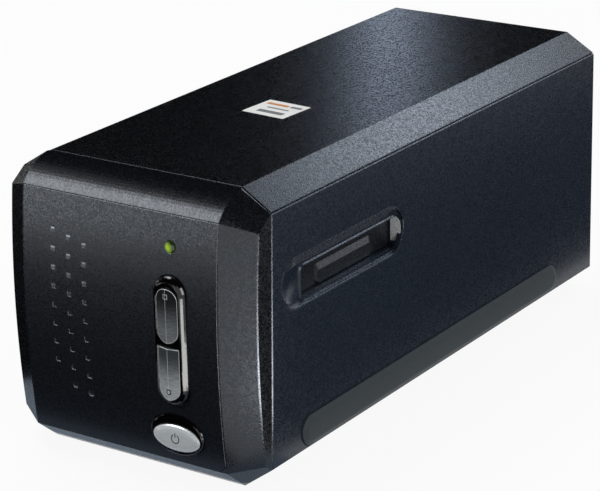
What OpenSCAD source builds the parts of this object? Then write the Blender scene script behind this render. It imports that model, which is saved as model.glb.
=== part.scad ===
// Desktop scanner for 35 mm film negatives and slides.
// A film holder is pushed in through the slot in one side and out through the other.
// A sled on two rods carries the lamp above the film, and the mirror, lens and line
// sensor below it. X is across, Y runs from the front to the rear and Z is up.

/* [Body] */
// Width across the side walls, without the rubber strips
body_w = 117; // [114:0.5:124]
// Height of the body, without the feet
body_h = 118.4; // [116:0.2:124]
// Length from the bulge of the front panel to the rear edge
body_d = 272; // [268:1:290]
// Thickness of the moulded walls
wall = 2.5; // [2:0.1:3]
// Width of the sloped band along each upper edge
edge_run = 13.4; // [11:0.2:15]
// Height of the sloped band along each upper edge
edge_drop = 8; // [6:0.2:9]
// Width of the sloped band along each lower edge
sole_run = 12.5; // [11:0.1:14]
// Height of the sloped band along each lower edge
sole_drop = 9.2; // [8:0.1:10]
// Open joint between neighbouring mouldings
seam = 0.4; // [0.2:0.1:0.6]
// Height of the feet below the body
foot_h = 0.6; // [0.6:0.1:2]
// Diameter of a foot
foot_d = 12; // [8:0.5:16]

/* [Front] */
// Length of the front bezel at its top
bezel_d = 19.2; // [18:0.1:22]
// Forward lean of the joint behind the bezel, in degrees
lean = 2.2; // [0:0.1:3]
// Radius of the upright bulge of the front
front_r = 405; // [350:5:600]
// Width of the front panel
panel_w = 92; // [86:0.5:94]
// Inset of the panel from the top and the bottom of the body
panel_inset = 9.3; // [8:0.1:11]
// Thickness of the front panel
panel_t = 2.5; // [2:0.1:3]
// Distance of the side facets' outer edge behind the panel's face
facet_back = 7.9; // [6:0.1:9]
// Depth of the side facets' upper end below the top of the body
facet_inset = 13.4; // [11:0.1:14]
// Height of the side facets' lower end above the bottom of the body
facet_rise = 12; // [11:0.1:14]
// Distance behind the panel's face of the corner that the top facet rounds off
fold_back = 7.8; // [6:0.1:9]
// Depth of that corner below the top of the body
fold_drop = 2.4; // [1.5:0.1:3.5]
// Width of one of the small square pits in the panel
pit_w = 1.9; // [1:0.1:2.4]
// Distance between two pits in a column
pit_pitch = 7.6; // [6:0.1:8]
// Distance between two columns of pits
pit_column = 7.5; // [6:0.1:8]

/* [Controls] */
// Distance of the controls to the right of the middle
control_x = 24.6; // [22:0.2:28]
// Diameter of the status light
led_d = 4.8; // [3:0.1:6]
// Depth of the status light below the top of the body
led_drop = 21.8; // [19:0.1:24]
// Width of the surround of the two scan buttons
surround_w = 14.6; // [13:0.2:17]
// Depth of the surround's upper end below the top of the body
surround_drop = 32.6; // [30:0.2:36]
// Gap between the surround and the power button's ring
control_gap = 4.6; // [3:0.1:8]
// Width of a scan button
button_w = 9.6; // [8:0.1:10.4]
// How far the ridge of a scan button stands ahead of the panel
button_proud = 3; // [2.5:0.1:4]
// Travel of a button
button_travel = 1; // [0.6:0.1:1.2]
// Free gap round a button
button_gap = 0.3; // [0.2:0.05:0.5]
// Width of the power button's ring
ring_w = 24.6; // [22:0.2:27]
// Height of the power button's ring
ring_h = 16.8; // [14:0.2:17]
// Height of the ring's middle above the bottom of the body
power_rise = 21.2; // [20:0.2:24]
// Width of the power button's cap
cap_w = 22; // [18:0.2:22.4]
// Height of the power button's cap
cap_h = 10.8; // [9:0.2:12]
// Distance of the cap's middle below the ring's middle
cap_drop = 1.2; // [0:0.1:1.8]

/* [Film path] */
// Length of the recess round a film slot
recess_len = 86.4; // [84:0.2:90]
// Height of the recess round a film slot
recess_h = 20.8; // [20:0.2:24]
// Gap between the front joint and a recess
recess_gap = 4.5; // [4:0.1:8]
// Depth of the recess's middle below the top of the body
recess_drop = 39.8; // [38:0.2:44]
// Width of the slot's mouth
mouth_len = 71; // [68:0.2:72]
// Height of the slot's mouth
mouth_h = 13.8; // [12:0.2:14.4]
// Depth of the sloped dish round the mouth
dish_depth = 1.8; // [1:0.1:2.2]
// Depth of the finger scoop in front of the mouth
scoop_depth = 3; // [2.2:0.1:3.2]
// Distance of the dust door behind the wall's face
door_depth = 6.4; // [6:0.1:9]
// Thickness of a dust door
door_t = 2; // [1.6:0.1:2.4]
// Diameter of a door's hinge pin
pin_d = 2; // [1.6:0.1:2.2]
// Height of the channel that the holder slides in
channel_h = 9; // [7:0.5:10]
// Length of the channel across the body
channel_len = 64; // [60:0.5:66]
// Size of the film gate across the body
gate_w = 38; // [36:0.5:40]
// Size of the film gate along the body
gate_d = 28; // [26:0.5:32]

/* [Scan sled] */
// Travel of the sled over one film frame
sled_travel = 25.4; // [24:0.1:27]
// Diameter of a guide rod
rod_d = 6; // [5:0.5:6]
// Distance between the two guide rods
rod_span = 38; // [34:0.5:38]
// Diameter of the lead screw
screw_d = 5; // [4:0.5:6]
// Diameter of the stepper motor
motor_d = 23; // [20:0.5:23]
// Length of the stepper motor
motor_len = 20; // [16:1:26]
// Diameter of the lens barrel
lens_d = 22; // [18:0.5:22]
// Length of the lens barrel
lens_len = 20; // [16:0.5:24]
// Height of the guide rods above the chassis
rod_rise = 12; // [11.6:0.1:14]
// Height of the optical axis above the sled's tray
axis_rise = 15; // [14:0.5:18]
// Length of the sled's tray ahead of the scan line
tray_ahead = 15; // [14:0.5:18]
// Length of the sled's tray behind the scan line
tray_behind = 84; // [78:1:90]
// Distance of the lens behind the scan line
lens_back = 26; // [22:0.5:30]
// Distance of the drive nut behind the scan line
nut_back = 30; // [24:0.5:36]
// Height of the lamp housing
lamp_h = 15; // [12:0.5:17]

/* [Side strips] */
// Length of a rubber side strip
strip_len = 203; // [180:1:214]
// Height of a rubber side strip
strip_h = 13; // [12:0.2:15]
// How far a strip stands out of the wall
strip_proud = 1.5; // [0.8:0.1:2]

/* [Hidden] */
$fn = 48;

// Clearances
seat_gap = 0.15;                         // loose seat of one fixed piece in another
run_gap = 0.05;                          // a shaft or slide in its bore
press_gap = 0.02;                        // a fixed pin or bush in its bore
air_gap = 0.3;                           // pieces that pass each other
skin = 0.01;                             // thickness of a slice that only shapes a hull
past = 1;                                // how far a cut runs past the face it opens
bevel = 0.4;                             // small bevel of the case's visible edges

// Body
top_z = foot_h + body_h;
mid_z = foot_h + body_h / 2;
floor_z = foot_h + wall;
half_w = body_w / 2;
half_in = half_w - wall;
rear_y = (body_d + button_proud) / 2;
front_y = rear_y - body_d;
seam_y = front_y + bezel_d;
bezel_rear = seam_y - seam / 2;
case_front = seam_y + seam / 2;
case_len = rear_y - case_front;
split_z = top_z - edge_drop;
edge_len = sqrt(edge_run * edge_run + edge_drop * edge_drop);
sole_len = sqrt(sole_run * sole_run + sole_drop * sole_drop);
lean_run = body_h * tan(lean);           // how far the joint comes forward at the bottom
lip_t = 1.5;                             // thickness of the locating lips
lip_reach = 1.8;                         // how far the bezel's lip reaches into the case
lip_drop = 4;                            // how far the cover's lips reach down

// Screws
screw_r = 1.5;                           // shank of the case screws
head_r = 2.8;
head_h = 2;
pilot_r = screw_r + press_gap;
column_r = 4.5;                          // screw columns of the case
column_x = half_in - column_r - 2.5;
column_front = case_front + 8;
column_rear = rear_y - 20;
column_top = mid_z + 36;                 // joint between the columns and the cover's bosses
column_web = 3;
cover_screw_len = 12;

// Rear panel
rear_t = 3;
rear_recess = 2;                         // how far the rear panel lies inside the case
rear_face = rear_y - rear_recess;
rear_in = rear_face - rear_t;
rear_ledge = 3;                          // rib that the rear panel rests against
rib_t = 1.6;

// Front panel and controls
ledge = 1.6;                             // rebate that the panel rests on
corner_cut = 3;                          // cut of the panel's lower corners
pit_depth = 1.1;
pit_first_x = -31.2;
pit_first_drop = 24.4;                   // first column's first pit below the top
pit_stagger = 2;                         // each column starts this much lower
pit_counts = [8, 9, 9];
led_z = top_z - led_drop;
power_z = foot_h + power_rise;
surround_len = top_z - surround_drop - power_z - ring_h / 2 - control_gap;
surround_z = top_z - surround_drop - surround_len / 2;
surround_proud = 2.1;
surround_slope = 2;                      // width of the surround's sloping flanks
surround_back = front_y + panel_t + 2.6; // rear face of the surround
flange_t = 1.2;
flange_w = 1.5;
divider = 1.3;                           // web between the two button pockets
ridge = 1;                               // height of a scan button's central ridge
stem_end = front_y + 9;                  // where the button stems end at rest
stem_r = 1.6;
switch_top = stem_end + button_travel + air_gap;
switch_h = 3.4;
board_t = 1.6;
key_board_y = switch_top + switch_h;
key_board_w = 34;
key_board_low = foot_h + 13;
key_board_top = top_z - 16;
post_r = 2.6;
ring_proud = 1.2;
cap_proud = 2;
cap_z = power_z - cap_drop;

// Upper button: from the divider to the surround's upper end
pocket_low = surround_z - surround_len / 2 + 2.4;
pocket_top = surround_z + surround_len / 2 - 4;
button_r = button_w / 2;
pocket_r = button_r + button_gap;
upper_low = (pocket_low + pocket_top) / 2 + 0.4;
upper_arc_z = upper_low + button_r;
lower_high = upper_low - 0.6;

// Film path
recess_y = seam_y + recess_gap + recess_len / 2;
recess_z = top_z - recess_drop;
mouth_y = recess_y + 7.2;
mouth_z = recess_z - 2.3;
mouth_low = mouth_z - mouth_h / 2;
throat_t = 1.5;
throat_end = half_w - door_depth;
frame_flange = 3;
rim_w = 0.4;                             // flat rim round the recess
scoop_r = 14;
scoop_y = recess_y - recess_len / 2 + 0.8 + sqrt(scoop_r * scoop_r - pow(scoop_r - scoop_depth, 2));
sill_r = 4;                              // rounding of the sill, and its height above the mouth's edge
sill_h = 0.3;
lip_w = 0.5;                             // raised lip round the mouth
barrel_r = pin_d / 2 + 0.75;
door_x = throat_end - air_gap - door_t;  // inner face of a closed door
slot_rear = recess_y + recess_len / 2;
rib_pitch = (rear_in - slot_rear) / 4;   // between the ribs on the side walls
hinge_x = throat_end - air_gap - 0.1 - barrel_r;
hinge_z = mouth_low - barrel_r - 0.15;
door_len = mouth_len + 1;
door_top = mouth_z + mouth_h / 2 + 0.6;
lug_t = 3;
lug_r = barrel_r + 0.8;
pin_len = door_len + 2 * (air_gap + lug_t);
spring_len = 6;
spring_y = mouth_y + door_len / 2 - 10;
wire_d = 0.5;
coil_r = pin_d / 2 + 0.6;
pad_len = 40;
pad_h = 8;
pad_t = 0.9;
pad_slope = 2.6;
pad_z = mouth_low + pad_h / 2 + 0.3;

// Film guides
deck_z = mouth_low + 0.4;
deck_t = 3;
roof_t = 2.5;
rail_t = 2.2;
channel_w = mouth_len - 0.6;
guide_top = deck_z + channel_h + roof_t;
ear_r = 3;
ear_x = channel_len / 2 - ear_r;
ear_y = channel_w / 2 + rail_t + 1.4;
guide_post_r = 2.6;
lead_in = 2;

// Chassis
chassis_z = floor_z + 5.5;
chassis_t = 1.2;
chassis_top = chassis_z + chassis_t;
chassis_half = column_x - column_r - 1;
chassis_front = case_front + 4;
chassis_rear = rear_in - rear_ledge - 1;
foot_x = half_w - sole_run - foot_d / 2 - 4;
foot_y = body_d / 2 - 36;
mount_x = chassis_half - 6;              // chassis screws

// Scan sled at rest: the lamp stands at the rear end of its travel
line_y = mouth_y + sled_travel / 2;
rod_z = chassis_top + rod_rise;
tray_z = rod_z + 6;
tray_t = 3;
tray_top = tray_z + tray_t;
tray_half = ear_x - guide_post_r - 1.2;
tray_front = line_y - tray_ahead;
tray_rear = line_y + tray_behind;
axis_z = tray_top + axis_rise;           // optical axis
block_t = 8;
front_block_y = tray_front - sled_travel - 2 - block_t;
rear_block_y = tray_rear + 2;
block_half = rod_span / 2 + rod_d;
boss_r = rod_d / 2 + 2.5;
boss_len = 12;
tower_y = mouth_y + ear_y + ear_r + 1 + sled_travel;
tower_d = 8;
arm_t = 4;
arm_z = guide_top + 6;
nut_r = screw_d / 2 + 2.2;
nut_len = 16;
nut_y = line_y + nut_back;
bush_r = screw_d / 2 + 2.2;
bracket_y = rear_block_y + block_t + 6;
bracket_t = 2;
motor_y = bracket_y + bracket_t;
shaft_r = 1.5;
coupler_r = screw_d / 2 + 2;
coupler_y = rear_block_y + block_t + 1.5;
mirror_t = 2;
mirror_len = 22;
mirror_half = tray_half - 5.5;
lens_y = line_y + lens_back;
clamp_t = 8;
lamp_z = guide_top + 3;
lamp_half = tray_half - arm_t - 0.4;
lamp_d = 18;
lamp_wall = 2;
diffuser_t = 2;
sensor_h = 10;
sensor_board_top = axis_z + sensor_h + 5;
stand_t = 4;                             // uprights of the sensor board
sensor_face = tray_rear - stand_t - board_t;
sensor_t = 3.4;

// Main board
board_w = 2 * chassis_half - 6;
board_len = 50;
board_z = rod_z + motor_d / 2 + 4.5;      // clear above the motor
board_rear = rear_in - air_gap;
board_front = board_rear - board_len;
mount_y = [chassis_front + 7, (chassis_front + chassis_rear) / 2, board_front - 12];
board_left = -board_w / 2;
inlet_x = board_left + 16.5;
inlet_w = 9;
inlet_h = 11;
usb_x = inlet_x + 26;
usb_w = 12;
usb_h = 11;
port_len = 14;
part_gap = 8;                            // between the parts on the board, and to its edges
chip_w = board_w / 4;
memory_w = 12;
memory_x = board_w - 2 * part_gap - chip_w - memory_w;
plug_w = 18;
can_r = 3.2;                             // capacitors in cans

// Side strips
strip_seat = 0.6;
strip_y = (case_front + rear_y) / 2 - 9.1;
strip_z = foot_h + sole_drop + 0.3 + strip_h / 2;
strip_round = 2.4;

// ---- Shared shapes ----

// Cross-section of the body, moved inwards by inset
function section_points(inset) =
    let (side = half_w - inset,
         crest = half_w - edge_run - inset * (edge_len - edge_run) / edge_drop,
         drop = edge_drop + inset * (edge_len - edge_drop) / edge_run,
         sole = half_w - sole_run - inset * (sole_len - sole_run) / sole_drop,
         rise = sole_drop + inset * (sole_len - sole_drop) / sole_run)
    [[side, foot_h + rise], [side, top_z - drop], [crest, top_z - inset], [-crest, top_z - inset],
     [-side, top_z - drop], [-side, foot_h + rise], [-sole, foot_h + inset], [sole, foot_h + inset]];

// How far the front's bulge falls back at height z
function bulge(z) = front_r - sqrt(front_r * front_r - (z - mid_z) * (z - mid_z));

// Upright line of the bulge, as points in Y and Z
function upright(face, low, high, steps = 16) =
    [for (i = [0:steps]) let (z = low + (high - low) * i / steps) [face + bulge(z), z]];

// Curve that rounds off the corner at b, from a to c
function rounded(a, b, c, steps = 12) =
    [for (i = [0:steps]) let (t = i / steps) (1 - t) * (1 - t) * a + 2 * t * (1 - t) * b + t * t * c];

function oval_points(wide, high, steps = 48) =
    [for (i = [0:steps - 1]) [wide / 2 * cos(360 * i / steps), high / 2 * sin(360 * i / steps)]];

// Extrudes an outline in Y and Z from x0 to x1
module span_x(x0, x1) {
    translate([x0, 0, 0]) rotate([90, 0, 90]) linear_extrude(x1 - x0) children();
}

// Extrudes an outline in X and Z from y0 to y1
module span_y(y0, y1) {
    translate([0, y1, 0]) rotate([90, 0, 0]) linear_extrude(y1 - y0) children();
}

// A cylinder along Y
module rod_y(r, y0, y1, sides = 48) {
    translate([0, y0, 0]) rotate([-90, 0, 0]) cylinder(r = r, h = y1 - y0, $fn = sides);
}

module slot_2d(len, high) {
    square([len - high, high], center = true);
    for (side = [-1, 1]) translate([side * (len - high) / 2, 0]) circle(d = high);
}

module upright_slot_2d(len, wide) {
    rotate(90) slot_2d(len, wide);
}

module round_rect(len, high, r) {
    square([len - 2 * r, high], center = true);
    square([len, high - 2 * r], center = true);
    for (x = [-1, 1]) for (y = [-1, 1])
        translate([x * (len / 2 - r), y * (high / 2 - r)]) circle(r = r);
}

// A block given by its low and high corners
module block(low, high) {
    translate(low) cube(high - low);
}

module on_both_sides() {
    children();
    mirror([1, 0, 0]) children();
}

// A pan-head screw: its head on the plane z = 0 and its shank below
module screw(len, r = screw_r, head = head_r, high = head_h) {
    difference() {
        union() {
            translate([0, 0, -len]) cylinder(r = r, h = len);
            cylinder(r = head, h = high);
        }
        translate([0, 0, high - 1]) cylinder(r = head / 2, h = 2, $fn = 6);
    }
}

// ---- Casing ----

// Moves each height forward as the leaning joint does
module leaning() {
    multmatrix([[1, 0, 0, 0], [0, 1, tan(lean), -tan(lean) * top_z], [0, 0, 1, 0], [0, 0, 0, 1]])
        children();
}

// Everything ahead of a plane that leans like the joint and meets the top of the body at y
module ahead_of(y) {
    translate([-body_w, y, top_z]) rotate([-lean, 0, 0])
        translate([0, -2 * bezel_d, -2 * body_h]) cube([2 * body_w, 2 * bezel_d, 3 * body_h]);
}

// What the case's and the cover's front ends are cut off with: it leaves a small bevel
module front_end_cut() {
    difference() {
        ahead_of(case_front + bevel);
        leaning() hull() {
            span_y(case_front - skin, case_front) polygon(section_points(bevel));
            span_y(case_front + bevel + skin, case_front + bevel + 2 * skin)
                polygon(section_points(-skin));
        }
    }
}

// Solid form of the front between the joint and the panel, moved inwards by inset;
// the face that carries the panel lies back behind the bulge
module front_form(inset, back) {
    low = foot_h + facet_rise + inset / 2;
    high = top_z - facet_inset - inset / 2;
    panel_low = foot_h + panel_inset + inset / 2;
    panel_high = top_z - panel_inset - inset / 2;
    edge_y = front_y + back + bulge(panel_high);
    hull() {
        // The side facets' outer edges are bevelled
        for (cut = [0, bevel]) let (face = front_y + facet_back + inset + bevel - cut)
            span_x(-half_w + inset + cut, half_w - inset - cut)
                polygon(concat([[face + bulge(low) + bevel, low]], upright(face, low, high),
                               [[face + bulge(high) + bevel, high]]));
        span_x(-(panel_w - inset) / 2, (panel_w - inset) / 2) polygon(concat(
            upright(front_y + back, panel_low, panel_high),
            rounded([edge_y, panel_high],
                    [front_y + fold_back + inset, top_z - fold_drop - inset],
                    [bezel_rear - 1, top_z - inset - 0.2])));
        leaning() span_y(bezel_rear - skin, bezel_rear) polygon(section_points(inset));
    }
}

// Everything behind a surface that lies depth behind the bulge
module behind_front(depth) {
    translate([-body_w, front_y + front_r, mid_z])
        rotate([0, 90, 0]) cylinder(r = front_r - depth, h = 2 * body_w, $fn = 720);
}

module panel_outline(inset) {
    w = panel_w / 2 - inset;
    low = foot_h + panel_inset + inset;
    high = top_z - panel_inset - inset;
    polygon([[-w + corner_cut, low], [w - corner_cut, low], [w, low + corner_cut],
             [w, high], [-w, high], [-w, low + corner_cut]]);
}

module front_bezel() {
    color("#23262b") difference() {
        union() {
            front_form(0, 0);
            // Lip that centres the bezel in the case
            difference() {
                intersection() {
                    span_y(bezel_rear - lean_run - wall, seam_y + lip_reach)
                        polygon(section_points(wall + seat_gap));
                    ahead_of(seam_y + lip_reach);
                }
                ahead_of(bezel_rear - wall);
            }
        }
        front_form(wall, panel_t + wall);
        difference() {
            span_y(bezel_rear - lean_run - 2 * wall, seam_y + lip_reach + past)
                polygon(section_points(wall + seat_gap + lip_t));
            ahead_of(bezel_rear - 2 * wall);
        }
        span_y(front_y - past, bezel_rear - wall) panel_outline(ledge);
        difference() {
            span_y(front_y - past, front_y + bezel_d / 2) panel_outline(0);
            behind_front(panel_t + run_gap);
        }
    }
}

module pits() {
    for (column = [0:len(pit_counts) - 1]) for (row = [0:pit_counts[column] - 1]) {
        z = top_z - pit_first_drop - pit_stagger * column - pit_pitch * row;
        translate([pit_first_x + pit_column * column, front_y + bulge(z) + pit_depth, z])
            rotate([90, 0, 0]) translate([-pit_w / 2, -pit_w / 2, 0]) cube([pit_w, pit_w, past]);
    }
}

key_post_low = power_z + ring_h / 2 + flange_w + post_r + 0.8;
key_posts = [[-1, key_post_low], [1, key_post_low],
             [-1, key_board_top - 5], [1, key_board_top - 5]];

module at_key_posts() {
    for (p = key_posts)
        translate([control_x + p[0] * (key_board_w / 2 - 4), 0, p[1]]) children();
}

module front_panel() {
    color("#1b1d21") difference() {
        union() {
            intersection() {
                difference() {
                    span_y(front_y - past, front_y + bezel_d / 2) panel_outline(seat_gap);
                    behind_front(panel_t);
                }
                behind_front(0);
            }
            // Posts for the key board
            at_key_posts() rod_y(post_r, front_y + panel_t - 0.5, key_board_y);
        }
        span_y(front_y - past, surround_back) translate([control_x, surround_z])
            upright_slot_2d(surround_len + 2 * seat_gap, surround_w + 2 * seat_gap);
        span_y(front_y - past, ring_back) ring_outline(seat_gap);
        translate([control_x, 0, led_z]) rod_y(led_d / 2 + run_gap, front_y - past, front_y + 8);
        at_key_posts() rod_y(1, key_board_y - 6, key_board_y + past);
        pits();
    }
}

module lower_case() {
    color("#202329") difference() {
        union() {
            span_y(case_front - lean_run, rear_y) intersection() {
                difference() {
                    polygon(section_points(0));
                    polygon(section_points(wall));
                    translate([-half_in, mid_z]) square([2 * half_in, body_h]);
                }
                translate([-half_w, 0]) square([body_w, split_z - seam / 2]);
            }
            // Screw columns up to the cover's bosses, and bosses for the rear panel
            intersection() {
                union() {
                    for (x = [-1, 1]) for (y = [column_front, column_rear])
                        translate([x * column_x, y, 0]) cylinder(r = column_r, h = column_top);
                    at_rear_screws() rod_y(3.4, rear_in - 8, rear_in);
                }
                span_y(case_front, rear_y) polygon(section_points(wall / 2));
            }
            // Bosses under the chassis
            for (x = [-1, 1]) for (y = mount_y)
                translate([x * mount_x, y, floor_z - wall / 2])
                    cylinder(r = 4, h = chassis_z - floor_z + wall / 2);
            // Stiffening ribs on the side walls
            on_both_sides() for (i = [1:3])
                block([half_in - 2, slot_rear + rib_pitch * i, floor_z + sole_drop],
                      [half_in + wall / 2, slot_rear + rib_pitch * i + rib_t, split_z - 9]);
            // Ribs that the rear panel rests against
            span_y(rear_in - rear_ledge, rear_in) intersection() {
                difference() {
                    polygon(section_points(wall / 2));
                    polygon(section_points(wall + 5));
                }
                translate([-half_w, 0]) square([body_w, split_z - 9]);
            }
        }
        front_end_cut();
        // Bevels along the upper edges of the side walls
        on_both_sides() span_y(case_front - lean_run - past, rear_y + past)
            translate([half_w, split_z - seam / 2])
                polygon([[-bevel - past, past], [past, past], [past, -bevel - past]]);
        // Holes for the two slot frames
        span_x(-half_w - past, half_w + past) translate([recess_y, recess_z])
            slot_2d(recess_len, recess_h);
        // Seats of the side strips
        on_both_sides() span_x(half_w - strip_seat, half_w + past)
            translate([strip_y, strip_z]) slot_2d(strip_len, strip_h);
        // Seats of the feet
        for (x = [-1, 1]) for (y = [-1, 1])
            translate([x * foot_x, y * foot_y, foot_h - past])
                cylinder(d = foot_d + 2 * seat_gap, h = past + 1);
        // Screw wells in the columns, and their bores
        for (x = [-1, 1]) for (y = [column_front, column_rear])
            translate([x * column_x, y, 0]) {
                cylinder(r = head_r + 0.4, h = column_top - column_web);
                cylinder(r = screw_r + 0.2, h = column_top + past);
            }
        for (x = [-1, 1]) for (y = mount_y)
            translate([x * mount_x, y, floor_z]) cylinder(r = 1.25, h = chassis_z);
        at_rear_screws() rod_y(1.25, rear_in - 8, rear_in + past);
    }
}

module top_cover() {
    color("#1d1f23") difference() {
        union() {
            span_y(case_front - lean_run, rear_y) intersection() {
                difference() {
                    polygon(section_points(0));
                    polygon(section_points(wall));
                }
                translate([-half_w, split_z + seam / 2]) square([body_w, edge_drop]);
            }
            // Lips inside the walls of the case, clear of the rear ribs
            on_both_sides()
                block([half_in - seat_gap - lip_t, case_front + lip_reach + 2, split_z - lip_drop],
                      [half_in - seat_gap, rear_in - rear_ledge - 2, split_z + 1.4]);
            intersection() {
                for (x = [-1, 1]) for (y = [column_front, column_rear])
                    translate([x * column_x, y, column_top])
                        cylinder(r = column_r - 0.5, h = top_z - column_top);
                span_y(case_front, rear_y) polygon(section_points(wall / 2));
            }
        }
        front_end_cut();
        for (x = [-1, 1]) for (y = [column_front, column_rear])
            translate([x * column_x, y, column_top - past]) cylinder(r = pilot_r, h = 14);
    }
}

module at_cover_screws() {
    for (x = [-1, 1]) for (y = [column_front, column_rear])
        translate([x * column_x, y, column_top - column_web]) rotate([180, 0, 0]) children();
}

module cover_screws() {
    color("silver") at_cover_screws() screw(cover_screw_len);
}

rear_screw_x = half_in - 3;
rear_screw_z = [foot_h + sole_drop + 12, split_z - 16];

module at_rear_screws() {
    for (x = [-1, 1]) for (z = rear_screw_z) translate([x * rear_screw_x, 0, z]) children();
}

module rear_panel() {
    color("#202329") difference() {
        span_y(rear_in, rear_face) polygon(section_points(wall + seat_gap));
        span_y(rear_in - past, rear_face + past) {
            translate([inlet_x, board_z + board_t + inlet_h / 2])
                square([inlet_w + 2 * air_gap, inlet_h + 2 * air_gap], center = true);
            translate([usb_x, board_z + board_t + usb_h / 2])
                square([usb_w + 2 * air_gap, usb_h + 2 * air_gap], center = true);
        }
        at_rear_screws() rod_y(screw_r + 0.1, rear_in - past, rear_face + past);
    }
}

module rear_screws() {
    color("silver") at_rear_screws() translate([0, rear_face, 0]) rotate([-90, 0, 0])
        screw(rear_t + 4, 1.2, 2.6, 1.6);
}

module feet() {
    color("#2b2d30") for (x = [-1, 1]) for (y = [-1, 1])
        translate([x * foot_x, y * foot_y, 0]) cylinder(d = foot_d, h = foot_h + 1);
}

module side_strip() {
    span_x(half_w - strip_seat, half_w + strip_proud / 3) translate([strip_y, strip_z])
        slot_2d(strip_len - 2 * seat_gap, strip_h - 2 * seat_gap);
    hull() {
        span_x(half_w + strip_proud / 3 - skin, half_w + strip_proud / 3)
            translate([strip_y, strip_z])
                slot_2d(strip_len - 2 * seat_gap, strip_h - 2 * seat_gap, $fn = 32);
        span_x(half_w + strip_proud - skin, half_w + strip_proud) translate([strip_y, strip_z])
            slot_2d(strip_len - 2 * strip_round, strip_h - 2 * strip_round, $fn = 32);
    }
}

module right_side_strip() {
    color("#43484c") side_strip();
}

module left_side_strip() {
    color("#43484c") mirror([1, 0, 0]) side_strip();
}

// ---- Controls ----

module button_surround() {
    color("#101113") difference() {
        union() {
            hull() for (step = [[0.15, 0], [0.55, 0.25], [0.85, 0.65], [1, 1]])
                span_y(front_y - step[0] * surround_proud, front_y + 1)
                    translate([control_x, surround_z])
                        upright_slot_2d(surround_len - 2 * step[1] * surround_slope,
                                        surround_w - 2 * step[1] * surround_slope, $fn = 32);
            span_y(front_y + 1, surround_back) translate([control_x, surround_z])
                upright_slot_2d(surround_len, surround_w);
            span_y(surround_back - flange_t, surround_back) translate([control_x, surround_z])
                upright_slot_2d(surround_len + 2 * flange_w, surround_w + 2 * flange_w);
        }
        span_y(front_y - 2 * surround_proud, surround_back + past) {
            upper_outline(button_gap);
            lower_outline(button_gap);
        }
    }
}

// Outline of the upper scan button in X and Z, grown all round
module upper_outline(grow) {
    translate([control_x, (upper_low + pocket_top) / 2])
        upright_slot_2d(pocket_top - upper_low - 2 * button_gap + 2 * grow, button_w + 2 * grow);
}

// Outline of the lower scan button: its upper end is hollowed to follow the other's round end
module lower_outline(grow) {
    low = pocket_low + button_gap - grow;
    high = lower_high - divider + grow;
    difference() {
        union() {
            translate([control_x, low + button_r + grow]) circle(r = button_r + grow);
            translate([control_x - button_r - grow, low + button_r + grow])
                square([button_w + 2 * grow, high - low - button_r - grow]);
        }
        translate([control_x, upper_arc_z]) circle(r = button_r + divider + button_gap * 2 - grow);
    }
}

// Roof-shaped cap of the scan buttons: a ridge runs down the middle
module ridged_cap() {
    linear_extrude(body_h) translate([control_x, 0])
        polygon([[-button_w, surround_back], [-button_w, front_y - button_proud + 2 * ridge],
                 [0, front_y - button_proud], [button_w, front_y - button_proud + 2 * ridge],
                 [button_w, surround_back]]);
}

module scan_button(low, high) {
    intersection() {
        span_y(front_y - button_proud, surround_back) children();
        ridged_cap();
    }
    // Collar behind the surround, and the stem that reaches the switch
    span_y(surround_back + air_gap, surround_back + air_gap + flange_t)
        translate([control_x - button_r - 0.8, low + 1]) square([button_w + 1.6, high - low - 2]);
    translate([control_x, 0, (low + high) / 2]) {
        rod_y(stem_r + 1, surround_back - past, surround_back + air_gap + past);
        rod_y(stem_r, surround_back, stem_end);
    }
}

module upper_scan_button() {
    color("#3a3d40") scan_button(upper_low, pocket_top) upper_outline(0);
}

module lower_scan_button() {
    color("#aeb4b7") scan_button(pocket_low, lower_high - divider) lower_outline(0);
}

power_face = front_y + bulge(power_z);
ring_back = power_face + panel_t + 2.4;

module cap_outline(grow) {
    translate([control_x, cap_z]) polygon(oval_points(cap_w + 2 * grow, cap_h + 2 * grow));
}

module ring_outline(grow) {
    translate([control_x, power_z]) polygon(oval_points(ring_w + 2 * grow, ring_h + 2 * grow));
}

module power_button_ring() {
    color("#101113") difference() {
        union() {
            hull() for (step = [[0.2, 0], [0.6, 0.3], [0.9, 0.8], [1, 1.6]])
                span_y(power_face - step[0] * ring_proud, power_face + 1.2) ring_outline(-step[1]);
            span_y(power_face + 1.2, ring_back) ring_outline(0);
            span_y(ring_back - flange_t, ring_back) ring_outline(flange_w);
        }
        span_y(power_face - 2 * ring_proud, ring_back + past) cap_outline(button_gap);
    }
}

module power_button() {
    color("#c6cbcd") {
        hull() for (step = [[0.55, 0.1], [0.75, 0.6], [0.92, 1.7], [1, 3.2]])
            span_y(power_face - step[0] * cap_proud, power_face) cap_outline(-step[1]);
        span_y(power_face - skin, ring_back + air_gap) cap_outline(0);
        span_y(ring_back + air_gap, ring_back + air_gap + 1) cap_outline(1);
        translate([control_x, 0, power_z]) rod_y(stem_r, ring_back, stem_end);
    }
}

module status_led() {
    face = front_y + bulge(led_z);
    color("#6fd63c") translate([control_x, 0, led_z]) {
        rod_y(led_d / 2 - run_gap, face - 0.2, key_board_y);
        intersection() {
            translate([0, face + led_d / 2 - 0.8, 0]) sphere(d = led_d + 0.6);
            rod_y(led_d / 2 - run_gap, face - past, face);
        }
    }
}

key_z = [power_z, (pocket_low + lower_high - divider) / 2, (upper_low + pocket_top) / 2];

module button_board() {
    color("#2f6b46") difference() {
        block([control_x - key_board_w / 2, key_board_y, key_board_low],
              [control_x + key_board_w / 2, key_board_y + board_t, key_board_top]);
        at_key_posts() rod_y(1.2, key_board_y - past, key_board_y + board_t + past);
    }
}

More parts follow.
